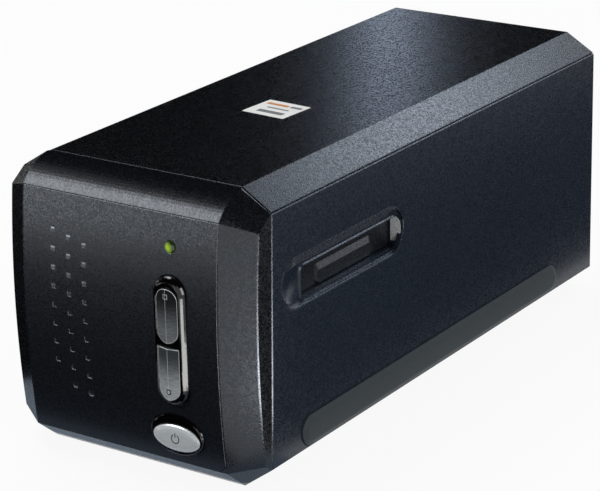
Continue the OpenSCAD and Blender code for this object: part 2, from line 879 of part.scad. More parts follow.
module tact_switches() {
    color("#303236") for (z = key_z) {
        block([control_x - 3, key_board_y - switch_h + 1.4, z - 3],
              [control_x + 3, key_board_y, z + 3]);
        translate([control_x, 0, z]) rod_y(1.4, switch_top, key_board_y - 1);
    }
}

module button_board_screws() {
    color("silver") at_key_posts() translate([0, key_board_y + board_t, 0]) rotate([-90, 0, 0])
        screw(6, 1 - press_gap, 2, 1.4);
}

// ---- Film path ----

// Outer form of the raised lip round a mouth, sloping up to the mouth's edge
module mouth_lip() {
    hull() {
        span_x(throat_end, half_w - dish_depth) translate([mouth_y, mouth_z])
            round_rect(mouth_len + 4 * lip_w, mouth_h + 4 * lip_w, 3, $fn = 32);
        span_x(throat_end, half_w - dish_depth + 1.5 * lip_w) translate([mouth_y, mouth_z])
            round_rect(mouth_len + 0.2, mouth_h + 0.2, 2.1, $fn = 32);
    }
}

module slot_frame() {
    difference() {
        union() {
            span_x(half_in, half_w) translate([recess_y, recess_z])
                slot_2d(recess_len - 2 * seat_gap, recess_h - 2 * seat_gap);
            span_x(half_in - throat_t, half_in) translate([recess_y, recess_z])
                slot_2d(recess_len + 2 * frame_flange, recess_h + 2 * frame_flange);
            span_x(throat_end, half_in) translate([mouth_y, mouth_z])
                round_rect(mouth_len + 2 * throat_t, mouth_h + 2 * throat_t, 3);
            // Lugs that hold the door's pin
            for (side = [-1, 1]) translate([0, mouth_y + side * (door_len / 2 + air_gap + lug_t / 2), 0]) {
                translate([hinge_x, 0, hinge_z]) rod_y(lug_r, -lug_t / 2, lug_t / 2);
                block([hinge_x, -lug_t / 2, hinge_z - lug_r],
                      [half_in - throat_t / 2, lug_t / 2, hinge_z + lug_r]);
            }
        }
        // Finger scoop: a bowl between the rim and the mouth's front end
        difference() {
            translate([half_w - scoop_depth + scoop_r, scoop_y, recess_z])
                sphere(r = scoop_r, $fn = 96);
            mouth_lip();
        }
        // Sloped dish from the rim down to the mouth, with a raised lip round the mouth
        difference() {
            hull() {
                span_x(half_w, half_w + skin) translate([recess_y, recess_z])
                    slot_2d(recess_len - 2 * rim_w, recess_h - 2 * rim_w, $fn = 32);
                span_x(half_w - dish_depth, half_w - dish_depth + skin) translate([mouth_y, mouth_z])
                    square([mouth_len + 0.4, mouth_h + 0.4], center = true);
            }
            mouth_lip();
        }
        span_x(throat_end - past, half_w + past) translate([mouth_y, mouth_z])
            round_rect(mouth_len, mouth_h, 2);
        translate([hinge_x, 0, hinge_z])
            rod_y(pin_d / 2 + press_gap, mouth_y - pin_len, mouth_y + pin_len);
    }
    // Rounded sill along the mouth's lower edge
    intersection() {
        translate([throat_end + 2.2, 0, mouth_low - sill_r + sill_h])
            rod_y(sill_r, mouth_y - mouth_len / 2 + 1, mouth_y + mouth_len / 2 - 1);
        span_x(throat_end, half_w) translate([recess_y, recess_z])
            slot_2d(recess_len - 2 * seat_gap, recess_h - 2 * seat_gap);
    }
}

module right_slot_frame() {
    color("#17191c") slot_frame();
}

module left_slot_frame() {
    color("#17191c") mirror([1, 0, 0]) slot_frame();
}

module dust_door() {
    difference() {
        union() {
            block([door_x, mouth_y - door_len / 2, hinge_z],
                  [door_x + door_t, mouth_y + door_len / 2, door_top]);
            translate([hinge_x, 0, hinge_z])
                rod_y(barrel_r, mouth_y - door_len / 2, mouth_y + door_len / 2);
            // Raised pad that the holder pushes on, with a sloped rim
            hull() {
                span_x(door_x + door_t / 2, door_x + door_t) translate([mouth_y + 1.5, pad_z])
                    round_rect(pad_len, pad_h, 2, $fn = 24);
                span_x(door_x + door_t / 2, door_x + door_t + pad_t)
                    translate([mouth_y + 1.5, pad_z - pad_slope / 2])
                        round_rect(pad_len - pad_slope, pad_h - pad_slope, 1.4, $fn = 24);
            }
        }
        translate([hinge_x, 0, hinge_z])
            rod_y(pin_d / 2 + run_gap, mouth_y - door_len, mouth_y + door_len);
        // Notch for the spring
        translate([hinge_x, 0, hinge_z])
            rod_y(barrel_r + 0.8, spring_y, spring_y + spring_len);
    }
}

module right_dust_door() {
    color("#26292d") dust_door();
}

module left_dust_door() {
    color("#26292d") mirror([1, 0, 0]) dust_door();
}

module door_pin() {
    translate([hinge_x, 0, hinge_z]) rod_y(pin_d / 2, mouth_y - pin_len / 2, mouth_y + pin_len / 2);
}

module right_door_pin() {
    color("silver") door_pin();
}

module left_door_pin() {
    color("silver") mirror([1, 0, 0]) door_pin();
}

module door_springs() {
    turns = floor((spring_len - 1.2) / (wire_d + 0.3));
    color("gray") on_both_sides() translate([hinge_x, spring_y + 0.9, hinge_z]) {
        for (i = [0:turns - 1]) translate([0, i * (wire_d + 0.3), 0]) rotate([90, 0, 0])
            rotate_extrude() translate([coil_r, 0]) circle(d = wire_d, $fn = 16);
        // Wire that joins the turns, on the side away from the door
        translate([0, 0, -coil_r]) rod_y(wire_d / 2, 0, (turns - 1) * (wire_d + 0.3), 16);
    }
}

module at_guide_ears() {
    for (x = [-1, 1]) for (y = [-1, 1]) translate([x * ear_x, mouth_y + y * ear_y, 0]) children();
}

module lower_film_guide() {
    half = channel_len / 2;
    color("#2a2d31") difference() {
        union() {
            span_y(mouth_y - channel_w / 2 - rail_t, mouth_y + channel_w / 2 + rail_t)
                polygon([[-half, deck_z - deck_t], [half, deck_z - deck_t], [half, deck_z - lead_in / 2],
                         [half - lead_in, deck_z], [-half + lead_in, deck_z],
                         [-half, deck_z - lead_in / 2]]);
            for (side = [-1, 1]) translate([0, mouth_y + side * (channel_w + rail_t) / 2, 0])
                block([-half, -rail_t / 2, deck_z - deck_t / 2], [half, rail_t / 2, deck_z + channel_h]);
            at_guide_ears() translate([0, 0, deck_z - deck_t])
                cylinder(r = ear_r, h = deck_t + channel_h);
        }
        block([-half - past, mouth_y - channel_w / 2, deck_z], [half + past, mouth_y + channel_w / 2, top_z]);
        block([-gate_w / 2, mouth_y - gate_d / 2, deck_z - deck_t - past],
              [gate_w / 2, mouth_y + gate_d / 2, deck_z + past]);
        at_guide_ears() translate([0, 0, deck_z - deck_t - past]) cylinder(r = 1.3, h = 3 * channel_h);
    }
}

module upper_film_guide() {
    half = channel_len / 2;
    low = deck_z + channel_h;
    color("#2a2d31") difference() {
        union() {
            span_y(mouth_y - channel_w / 2 - rail_t, mouth_y + channel_w / 2 + rail_t)
                polygon([[-half, low + lead_in / 2], [-half + lead_in, low], [half - lead_in, low],
                         [half, low + lead_in / 2], [half, low + roof_t], [-half, low + roof_t]]);
            at_guide_ears() translate([0, 0, low]) cylinder(r = ear_r, h = roof_t);
        }
        block([-gate_w / 2, mouth_y - gate_d / 2, low - past],
              [gate_w / 2, mouth_y + gate_d / 2, guide_top + past]);
        at_guide_ears() translate([0, 0, low - past]) cylinder(r = 1.3, h = roof_t + 2 * past);
    }
}

module guide_posts() {
    color("silver") at_guide_ears() difference() {
        translate([0, 0, chassis_top]) cylinder(r = guide_post_r, h = deck_z - deck_t - chassis_top);
        translate([0, 0, deck_z - deck_t - 8]) cylinder(r = 1.2 + press_gap, h = 8 + past);
    }
}

module guide_screws() {
    color("silver") at_guide_ears() translate([0, 0, guide_top])
        screw(deck_t + channel_h + roof_t + 6, 1.2, 2.4, 1.6);
}

// ---- Chassis and drive ----

module chassis_plate() {
    color("#b6babd") difference() {
        union() {
            block([-chassis_half, chassis_front, chassis_z], [chassis_half, chassis_rear, chassis_top]);
            // Folded edges
            on_both_sides() block([chassis_half - chassis_t, chassis_front + 16, chassis_z],
                                  [chassis_half, board_front - 20, chassis_top + 7]);
        }
        for (x = [-1, 1]) for (y = mount_y)
            translate([x * mount_x, y, chassis_z - past]) cylinder(r = 1.6, h = 3 * past);
        // Lightening holes
        for (i = [0:3]) translate([0, front_block_y + block_t + 22 + 26 * i, chassis_z - past])
            cylinder(r = 9, h = 3 * past);
    }
}

module chassis_screws() {
    color("silver") for (x = [-1, 1]) for (y = mount_y)
        translate([x * mount_x, y, chassis_top]) screw(chassis_t + 4.5, 1.2, 2.6, 1.6);
}

module at_rods() {
    for (x = [-1, 1]) translate([x * rod_span / 2, 0, rod_z]) children();
}

module rod_block(y0) {
    difference() {
        block([-block_half, y0, chassis_top], [block_half, y0 + block_t, rod_z + rod_d / 2 + 1.6]);
        at_rods() rod_y(rod_d / 2 + press_gap, y0 - past, y0 + block_t + past);
        translate([0, 0, rod_z]) rod_y(bush_r + press_gap, y0 - past, y0 + block_t + past);
    }
}

module front_rod_block() {
    color("#34373b") rod_block(front_block_y);
}

module rear_rod_block() {
    color("#34373b") rod_block(rear_block_y);
}

module guide_rods() {
    color("silver") at_rods() rod_y(rod_d / 2, front_block_y, rear_block_y + block_t);
}

module screw_bushes() {
    color("#b5874a") for (y = [front_block_y, rear_block_y]) translate([0, 0, rod_z]) difference() {
        rod_y(bush_r, y, y + block_t);
        rod_y(screw_d / 2 + run_gap, y - past, y + block_t + past);
    }
}

module lead_screw() {
    color("#a9adb0") translate([0, 0, rod_z])
        rod_y(screw_d / 2, front_block_y + 1, coupler_y + 2.4);
}

module shaft_coupler() {
    color("#c9a45c") translate([0, 0, rod_z]) {
        difference() {
            rod_y(coupler_r, coupler_y, bracket_y - 0.6);
            rod_y(screw_d / 2 + press_gap, coupler_y - past, coupler_y + 2.4 + press_gap);
            // Grub screw
            translate([0, (coupler_y + bracket_y) / 2, 0]) cylinder(r = 0.8, h = coupler_r + past);
        }
        rod_y(shaft_r, bracket_y - 1, motor_y + motor_len / 2);
    }
}

module motor_bracket() {
    color("#b6babd") difference() {
        union() {
            block([-motor_d / 2 - 4, bracket_y, chassis_top],
                  [motor_d / 2 + 4, motor_y, rod_z + motor_d / 2 + 1]);
            block([-motor_d / 2 - 4, bracket_y, chassis_top],
                  [motor_d / 2 + 4, bracket_y + 6, chassis_top + 0.4]);
        }
        translate([0, 0, rod_z]) rod_y(shaft_r + 1.5, bracket_y - past, motor_y + past);
    }
}

module stepper_motor() {
    color("#8f9497") translate([0, 0, rod_z]) difference() {
        union() {
            rod_y(motor_d / 2, motor_y + 0.8, motor_y + motor_len);
            rod_y(motor_d / 2 - 1.5, motor_y, motor_y + 1);
            block([-5, motor_y + 6, motor_d / 2 - 2], [5, motor_y + 14, motor_d / 2 + 4]);
        }
        rod_y(shaft_r + run_gap, motor_y - past, motor_y + motor_len / 2 + past);
    }
}

// ---- Scan sled ----

module sled() {
    color("#3a3d41") difference() {
        union() {
            block([-tray_half, tray_front, tray_z], [tray_half, tray_rear, tray_top]);
            on_both_sides() {
                // Tray walls
                block([tray_half - 2, tray_front, tray_z], [tray_half, tray_rear, tray_top + 4]);
                // Tower behind the film guides, and the arm above them
                block([tray_half - arm_t, tower_y, tray_z], [tray_half, tower_y + tower_d, arm_z + arm_t]);
                block([tray_half - arm_t, line_y - lamp_d / 2, arm_z],
                      [tray_half, tower_y + tower_d, arm_z + arm_t]);
                // Uprights for the sensor board
                block([tray_half - 5, tray_rear - stand_t, tray_z],
                      [tray_half, tray_rear, sensor_board_top - 1]);
                // Cheeks beside the mirror
                span_x(mirror_half + 0.4, mirror_half + 2.6)
                    polygon([[line_y - 12, tray_z], [line_y + 10, tray_z], [line_y + 10, axis_z - 8],
                             [line_y - 6, axis_z + 9], [line_y - 12, axis_z + 9]]);
            }
            // Cross bar between the arms
            block([-tray_half, tower_y, arm_z], [tray_half, tower_y + tower_d, arm_z + arm_t]);
            // Ribs under the mirror
            for (x = [-1, 0, 1]) span_x(x * (mirror_half - 5) - 1.5, x * (mirror_half - 5) + 1.5)
                polygon([mirror_back(1), mirror_back(-1), [mirror_back(-1)[0], tray_z],
                         [mirror_back(1)[0], tray_z]]);
            // Rod bosses
            at_rods() for (y = [line_y - boss_len / 2, tray_rear - boss_len - 2]) {
                rod_y(boss_r, y, y + boss_len);
                block([-boss_r, y, 0], [boss_r, y + boss_len, tray_z - rod_z + 1]);
            }
            // Nut holder
            translate([0, 0, rod_z])
                block([-nut_r - 2, nut_y + 3, -nut_r - 2], [nut_r + 2, nut_y + 11, tray_z - rod_z + 1]);
        }
        at_rods() rod_y(rod_d / 2 + run_gap, tray_front, tray_rear);
        // The left-hand bosses are forks, open to the side
        block([-tray_half - past, tray_front - past, rod_z - rod_d / 2 - run_gap],
              [-rod_span / 2, tray_rear + past, rod_z + rod_d / 2 + run_gap]);
        translate([0, 0, rod_z]) rod_y(nut_r + press_gap, nut_y, nut_y + nut_len);
    }
}

// Lower face of the mirror: its upper end at side 1 and its lower end at side -1
function mirror_back(side) = let (half = mirror_len / 2 * sqrt(0.5), back = mirror_t * sqrt(0.5))
    [line_y - side * half - back, axis_z + side * half - back];

module drive_nut() {
    color("#d8d3c4") translate([0, 0, rod_z]) difference() {
        union() {
            rod_y(nut_r, nut_y, nut_y + nut_len);
            rod_y(nut_r + 1, nut_y, nut_y + 3);
        }
        rod_y(screw_d / 2 + run_gap, nut_y - past, nut_y + nut_len + past);
    }
}

module lamp_housing() {
    color("#2f3236") difference() {
        union() {
            block([-lamp_half, line_y - lamp_d / 2, lamp_z], [lamp_half, line_y + lamp_d / 2, lamp_z + lamp_h]);
            // Ears that rest on the arms
            block([-tray_half, line_y - 5, arm_z + arm_t], [tray_half, line_y + 5, arm_z + arm_t + 2]);
        }
        block([-lamp_half + lamp_wall, line_y - lamp_d / 2 + lamp_wall, lamp_z - past],
              [lamp_half - lamp_wall, line_y + lamp_d / 2 - lamp_wall, lamp_z + lamp_h - lamp_wall]);
    }
}

module lamp_board() {
    inset = lamp_wall + seat_gap;
    high = lamp_z + lamp_h - lamp_wall;
    color("#e8e6dc") {
        block([-lamp_half + inset, line_y - lamp_d / 2 + inset, high - board_t],
              [lamp_half - inset, line_y + lamp_d / 2 - inset, high]);
        for (i = [-3:3]) translate([i * 5, line_y, high - board_t - 1.2])
            translate([-1.6, -1.6, 0]) cube([3.2, 3.2, 1.4]);
    }
}

module lamp_diffuser() {
    inset = lamp_wall + seat_gap;
    color("#f2f2ee") block([-lamp_half + inset, line_y - lamp_d / 2 + inset, lamp_z],
                           [lamp_half - inset, line_y + lamp_d / 2 - inset, lamp_z + diffuser_t]);
}

module fold_mirror() {
    color("#cfd8dc") translate([0, line_y, axis_z]) rotate([-45, 0, 0])
        translate([-mirror_half, -mirror_len / 2, -mirror_t]) cube([2 * mirror_half, mirror_len, mirror_t]);
}

module lens_barrel() {
    color("#1a1b1d") translate([0, 0, axis_z]) difference() {
        union() {
            rod_y(lens_d / 2, lens_y, lens_y + lens_len);
            rod_y(lens_d / 2 - 2, lens_y - 3, lens_y + lens_len + 3);
        }
        rod_y(lens_d / 2 - 4, lens_y - 3 - past, lens_y + lens_len + 3 + past);
    }
}

module lens_glass() {
    color("#9fc4cf") translate([0, 0, axis_z]) for (y = [lens_y - 1, lens_y + lens_len - 2])
        rod_y(lens_d / 2 - 4 - press_gap, y, y + 3);
}

module lens_clamp() {
    color("#3f4347") difference() {
        block([-lens_d / 2 - 3, lens_y + 6, tray_top],
              [lens_d / 2 + 3, lens_y + 6 + clamp_t, axis_z + lens_d / 2 + 2.5]);
        translate([0, 0, axis_z]) rod_y(lens_d / 2 + press_gap, lens_y, lens_y + lens_len);
        // Split that the clamp closes across
        block([-0.6, lens_y, axis_z], [0.6, lens_y + lens_len, top_z]);
    }
}

module sensor_board() {
    color("#2f6b46") block([-tray_half + 2.2, sensor_face, tray_top],
                           [tray_half - 2.2, tray_rear - stand_t, sensor_board_top]);
}

module line_sensor() {
    color("#26282b") difference() {
        block([-mirror_half, sensor_face - sensor_t, axis_z - sensor_h / 2],
              [mirror_half, sensor_face, axis_z + sensor_h / 2]);
        block([-mirror_half + 3, sensor_face - sensor_t - past, axis_z - 1.6],
              [mirror_half - 3, sensor_face - sensor_t + 1, axis_z + 1.6]);
    }
}

// ---- Electronics ----

module at_board_screws() {
    for (x = [-1, 1]) for (y = [board_front + 5, board_rear - 12])
        translate([x * (board_w / 2 - 5), y, board_z]) children();
}

module main_board() {
    color("#2f6b46") difference() {
        union() {
            block([-board_w / 2, board_front, board_z], [board_w / 2, board_rear, board_z + board_t]);
            // Spacers down to the chassis
            at_board_screws() translate([0, 0, chassis_top - board_z]) cylinder(r = 3, h = board_z - chassis_top);
        }
        at_board_screws() translate([0, 0, -board_z]) cylinder(r = 1.25, h = 3 * board_z);
    }
}

module board_screws() {
    color("silver") at_board_screws() translate([0, 0, board_t]) screw(board_t + 3, 1.2, 2.4, 1.6);
}

module board_parts() {
    color("#2b2d31") translate([board_left, board_front, board_z + board_t]) {
        block([board_w - part_gap - chip_w, part_gap, 0], [board_w - part_gap, part_gap + chip_w, 1.6]);
        block([memory_x, part_gap, 0], [memory_x + memory_w, part_gap + memory_w * 4 / 3, 1.2]);
        block([memory_x - part_gap / 2 - plug_w, part_gap / 2, 0], [memory_x - part_gap / 2, part_gap, 5]);
    }
    color("#3b4a63") for (i = [0:2])
        translate([memory_x + board_left - part_gap - 3 * can_r * i, board_front + board_len / 2,
                   board_z + board_t])
            cylinder(r = can_r, h = 9);
}

module power_inlet() {
    up = board_z + board_t;
    color("#1c1d20") translate([inlet_x, 0, up + inlet_h / 2]) {
        difference() {
            block([-inlet_w / 2, rear_face - port_len, -inlet_h / 2], [inlet_w / 2, rear_face, inlet_h / 2]);
            rod_y(3.1, rear_face - 9, rear_face + past);
        }
        rod_y(1, rear_face - 10, rear_face - 1);
    }
}

module usb_port() {
    up = board_z + board_t;
    color("#c4c7ca") translate([usb_x, 0, up + usb_h / 2]) {
        difference() {
            block([-usb_w / 2, rear_face - port_len, -usb_h / 2], [usb_w / 2, rear_face, usb_h / 2]);
            span_y(rear_face - 9, rear_face + past)
                polygon([[-4.2, -3.9], [4.2, -3.9], [4.2, 2.2], [2.6, 3.9], [-2.6, 3.9], [-4.2, 2.2]]);
        }
        block([-2.8, rear_face - 9.5, -1.6], [2.8, rear_face - 1.5, 1.6]);
    }
}

top_cover();
lower_case();
front_bezel();
front_panel();
rear_panel();
button_surround();
upper_scan_button();
lower_scan_button();
power_button_ring();
power_button();
status_led();
button_board();
tact_switches();
button_board_screws();
right_slot_frame();
left_slot_frame();
right_dust_door();
left_dust_door();
right_door_pin();
left_door_pin();
door_springs();
lower_film_guide();
upper_film_guide();
guide_posts();
guide_screws();
chassis_plate();
chassis_screws();
front_rod_block();
rear_rod_block();
guide_rods();
sled();
drive_nut();
lead_screw();
shaft_coupler();
screw_bushes();
motor_bracket();
stepper_motor();
lamp_housing();
lamp_board();
lamp_diffuser();
fold_mirror();
lens_barrel();
lens_glass();
lens_clamp();
sensor_board();
line_sensor();
main_board();
board_parts();
board_screws();
power_inlet();
usb_port();
right_side_strip();
left_side_strip();
feet();
cover_screws();
rear_screws();
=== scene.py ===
# %% [markdown]
# # A desktop film scanner in its studio
# The scanner is a long black box. A holder with film strips is pushed through the slot in its side, and a sled
# inside carries a lamp, a mirror, a lens and a line sensor past the film. The engineering model comes first:
# every moulding, pin and screw of it has its true size and place, and nothing here moves or reshapes it. This
# lesson gives each of those pieces a finish, adds the thin things that a mould doesn't make (a paper label,
# printed marks and pale pads, whose pale colour is painted light), and sets up light and camera.

# %% Load the frame
import math
import bpy
from mathutils import Matrix, Vector


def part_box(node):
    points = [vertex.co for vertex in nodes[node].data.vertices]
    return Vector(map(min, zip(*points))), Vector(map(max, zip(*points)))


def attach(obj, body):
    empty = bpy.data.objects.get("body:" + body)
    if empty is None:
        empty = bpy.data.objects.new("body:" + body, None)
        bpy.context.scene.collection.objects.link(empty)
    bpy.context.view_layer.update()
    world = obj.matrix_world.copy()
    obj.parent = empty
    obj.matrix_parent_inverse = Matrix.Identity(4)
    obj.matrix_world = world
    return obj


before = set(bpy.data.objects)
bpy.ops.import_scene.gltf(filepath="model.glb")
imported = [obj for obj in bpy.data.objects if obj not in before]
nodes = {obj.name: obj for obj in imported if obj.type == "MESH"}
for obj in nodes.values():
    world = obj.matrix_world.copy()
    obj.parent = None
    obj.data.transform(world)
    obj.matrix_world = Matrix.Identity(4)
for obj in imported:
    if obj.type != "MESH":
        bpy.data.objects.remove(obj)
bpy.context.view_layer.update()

# %% [markdown]
# ## Small helpers
# Colours are written as the hex values that a colour picker shows. Cycles wants them linear, so one function
# turns them. Another adds a node to a material's tree, sets its values and plugs in its links, which keeps each
# material below readable as a short list. Most materials are a blend of two close shades, steered by a pattern
# that is fixed to the object, so these steps have a helper each.

# %% Helpers for colours and nodes
MM = 0.001


def linear(hex_colour):
    channels = [int(hex_colour[i:i + 2], 16) / 255 for i in (1, 3, 5)]
    return (*[c / 12.92 if c <= 0.04045 else ((c + 0.055) / 1.055) ** 2.4 for c in channels], 1.0)


def shade(hex_colour, factor):
    """The colour in linear light, made darker or lighter by a factor."""
    return (*[min(1.0, c * factor) for c in linear(hex_colour)[:3]], 1.0)


def add_node(tree, kind, settings=None, links=None):
    node = tree.nodes.new(kind)
    for key, value in (settings or {}).items():
        if isinstance(key, int) or key in node.inputs:
            node.inputs[key].default_value = value
        else:
            setattr(node, key, value)
    for key, source in (links or {}).items():
        tree.links.new(source, node.inputs[key])
    return node


def new_material(name):
    material = bpy.data.materials.new(name)
    material.use_nodes = True
    material.node_tree.nodes.clear()
    return material, material.node_tree


def object_place(tree):
    return add_node(tree, "ShaderNodeTexCoord").outputs["Object"]


def blend(tree, first, second, factor):
    """Mixes two fixed colours by the output of another node."""
    mix = add_node(tree, "ShaderNodeMix", {"data_type": "RGBA", 6: first, 7: second}, {0: factor})
    return mix.outputs[2]


def blend_over(tree, below, above, factor):
    """Lays a fixed colour over another node's colour, where the factor is high."""
    mix = add_node(tree, "ShaderNodeMix", {"data_type": "RGBA", 7: above}, {0: factor, 6: below})
    return mix.outputs[2]


def remap(tree, value, settings):
    return add_node(tree, "ShaderNodeMapRange", settings, {"Value": value}).outputs["Result"]


def surface(material, shader):
    """Plugs the shader into its material's output."""
    add_node(material.node_tree, "ShaderNodeOutputMaterial", links={"Surface": shader.outputs[0]})
    return material


def dress(material, *names):
    for name in names:
        mesh = nodes[name].data
        mesh.materials.clear()
        mesh.materials.append(material)


print("black ABS in linear light:", [round(c, 4) for c in linear("#1f2631")])

# %% [markdown]
# ## Moulded plastics
# Nearly every piece that shows is injection-moulded ABS. The steel of the mould is spark-eroded, which leaves a
# fine even grain: tiny soft bumps about 0.4 mm across. Paint or an image could fake it, but a noise pattern in
# the bump channel is better, because the highlight then breaks up by itself at any angle. The grain is drawn
# at 0.6 mm, a little coarser than the real one, or it would vanish between two pixels. The tops of the bumps are
# rubbed smoother than the pits between them, so a pattern of small cells, each with a value of its own, steers the
# roughness: that gives bright specks on lit faces and leaves the dark faces calm. Plain black ABS mirrors a little
# cooler than it is lit, which the specular tint holds. A Bevel node rounds the light along each edge by half a
# millimetre, as the mould's own radius does. On the front panel the rims that face up and right get a painted
# highlight, a paler colour that stands in for the light they catch: the rounded normal leans away from the plain
# one at a rim, and the part of that lean that points up and right mixes in the paler colour.

# %% Plastics, from matt to polished
MOULD_RADIUS = 0.5 * MM
BROAD_MOTTLE = 35 * MM
SMOOTHEST = 0.03
UP_AND_RIGHT = (0.7, 0, 0.7)
RIM_STARTS, RIM_FULL = 0.06, 0.30


# Painted highlight: the rims that face up and right get a paler colour, standing in for the light they catch.
def painted_rim_highlight(tree, rounded_normal, colours, rim_highlight_colour):
    plain = add_node(tree, "ShaderNodeNewGeometry")
    lean = add_node(tree, "ShaderNodeVectorMath", {"operation": "SUBTRACT"},
                    {0: rounded_normal, 1: plain.outputs["Normal"]})
    upward = add_node(tree, "ShaderNodeVectorMath", {"operation": "DOT_PRODUCT", 1: UP_AND_RIGHT},
                      {0: lean.outputs["Vector"]})
    rim = remap(tree, upward.outputs["Value"], {"From Min": RIM_STARTS, "From Max": RIM_FULL})
    return blend_over(tree, colours, linear(rim_highlight_colour), rim)


def moulded_plastic(name, colour, roughness, grain, depth, mottle=0.10, level=0.5, specks=0.04, tint="#ffffff",
                    rim_highlight_colour=""):
    """Grain is the size of the bumps and depth their height, both in millimetres."""
    material, tree = new_material(name)
    place = object_place(tree)
    fine = add_node(tree, "ShaderNodeTexNoise",
                    {"Scale": 1 / (grain * MM), "Detail": 2.0, "Roughness": 0.55}, {"Vector": place})
    cells = add_node(tree, "ShaderNodeTexVoronoi", {"Scale": 1 / (grain * MM)}, {"Vector": place})
    broad = add_node(tree, "ShaderNodeTexNoise",
                     {"Scale": 1 / BROAD_MOTTLE, "Detail": 3.0, "Roughness": 0.5}, {"Vector": place})
    colours = blend(tree, shade(colour, 1 - mottle), shade(colour, 1 + mottle), broad.outputs["Fac"])
    gloss = remap(tree, cells.outputs["Color"],
                  {"From Min": 0.2, "From Max": 0.8, "To Min": max(SMOOTHEST, roughness - specks),
                   "To Max": roughness + specks})
    rounded = add_node(tree, "ShaderNodeBevel", {"samples": 4, "Radius": MOULD_RADIUS}).outputs["Normal"]
    if rim_highlight_colour:
        colours = painted_rim_highlight(tree, rounded, colours, rim_highlight_colour)
    bump = add_node(tree, "ShaderNodeBump", {"Strength": 1.0, "Distance": depth * MM},
                    {"Height": fine.outputs["Fac"], "Normal": rounded})
    return surface(material, add_node(
        tree, "ShaderNodeBsdfPrincipled", {"IOR": 1.5, "Specular IOR Level": level, "Specular Tint": linear(tint)},
        {"Base Color": colours, "Roughness": gloss, "Normal": bump.outputs["Normal"]}))


COOL = "#e2eaf4"
# The same black ABS is given in several shades as painted light and shade: the case's copy is lighter and bluer, the
# cover's darker, the bezel's and the panel's a little darker too.
lit_case_abs = moulded_plastic("ABS, black, spark grain", "#1f2631", 0.27, grain=0.6, depth=0.03, specks=0.08,
                              tint=COOL)
shaded_cover_abs = moulded_plastic("ABS, black, spark grain, cover", "#090a0c", 0.25, grain=0.6, depth=0.03, specks=0.08,
                            tint=COOL)
bezel_abs = moulded_plastic("ABS, black, spark grain, bezel", "#0d0f13", 0.27, grain=0.6, depth=0.03, specks=0.08,
                            level=0.75, tint=COOL)
# The front panel's rims that face up and right get a painted highlight in a paler colour.
panel_abs = moulded_plastic("ABS, black, fine grain", "#0c0f14", 0.30, grain=0.6, depth=0.025, specks=0.06,
                            tint=COOL, rim_highlight_colour="#80868c")
polished_abs = moulded_plastic("ABS, black, polished", "#060607", 0.07, grain=2.5, depth=0.0005, mottle=0.02)
door_abs = moulded_plastic("ABS, dark grey, satin", "#1a1d22", 0.30, grain=0.55, depth=0.025, specks=0.05, tint=COOL)
filled_plastic = moulded_plastic("Polycarbonate, glass-filled", "#2b2e33", 0.55, grain=1.2, depth=0.03)
acetal = moulded_plastic("Acetal, natural", "#dcd8c8", 0.35, grain=2.0, depth=0.002, mottle=0.03)
socket_nylon = moulded_plastic("Nylon, black", "#16171a", 0.45, grain=1.0, depth=0.006)
strip_rubber = moulded_plastic("TPE, dark grey", "#363d41", 0.55, grain=0.8, depth=0.020, level=0.35)
foot_rubber = moulded_plastic("Rubber, black", "#232426", 0.75, grain=0.8, depth=0.02, level=0.3)
opal_acrylic = moulded_plastic("Acrylic, opal", "#f1f1ec", 0.40, grain=3.0, depth=0.001, mottle=0.01)
white_resist = moulded_plastic("Solder resist, white", "#e9e7de", 0.35, grain=3.0, depth=0.001, mottle=0.02)
chip_epoxy = moulded_plastic("Epoxy, black", "#222326", 0.50, grain=0.6, depth=0.006)

dress(lit_case_abs, "lower_case", "rear_panel", "right_slot_frame", "left_slot_frame")
dress(bezel_abs, "front_bezel")
dress(shaded_cover_abs, "top_cover")
dress(panel_abs, "front_panel")
dress(polished_abs, "button_surround", "power_button_ring")
dress(door_abs, "right_dust_door", "left_dust_door")
dress(filled_plastic, "lower_film_guide", "upper_film_guide", "front_rod_block", "rear_rod_block", "sled",
      "lamp_housing", "lens_clamp")
dress(acetal, "drive_nut")
dress(socket_nylon, "power_inlet")
dress(strip_rubber, "right_side_strip", "left_side_strip")
dress(foot_rubber, "feet")
dress(opal_acrylic, "lamp_diffuser")
dress(white_resist, "lamp_board")
dress(chip_epoxy, "tact_switches", "board_parts", "line_sensor")
print("plastics:", len(bpy.data.materials))

# %% [markdown]
# ## Painted keys
# The scan keys and the power key are plastic with a silver lacquer. Lacquer holds aluminium flakes that lie
# almost flat, so it is a blend of metal and plastic: a metallic base with a clear coat over it. Its edges get a
# painted highlight, a bright line: the Bevel node knows where an edge is, because close to one its rounded normal
# differs from the plain one, and that difference mixes in the bright colour. The scan keys are also brushed
# across, and their colour turns darker towards the top as painted shade.

# %% Lacquers
METALLIC = 0.3
FLAKE_SIZE, FLAKE_HEIGHT, FLAKE_SHADE = 0.35 * MM, 0.003 * MM, 0.82
BRUSH_WIDTH, BRUSH_STRETCH = 0.5 * MM, (0.15, 0.15, 1.0)
EDGE_HIGHLIGHT_RADIUS = 0.35 * MM
EDGE_STARTS, EDGE_FULL = 0.998, 0.985


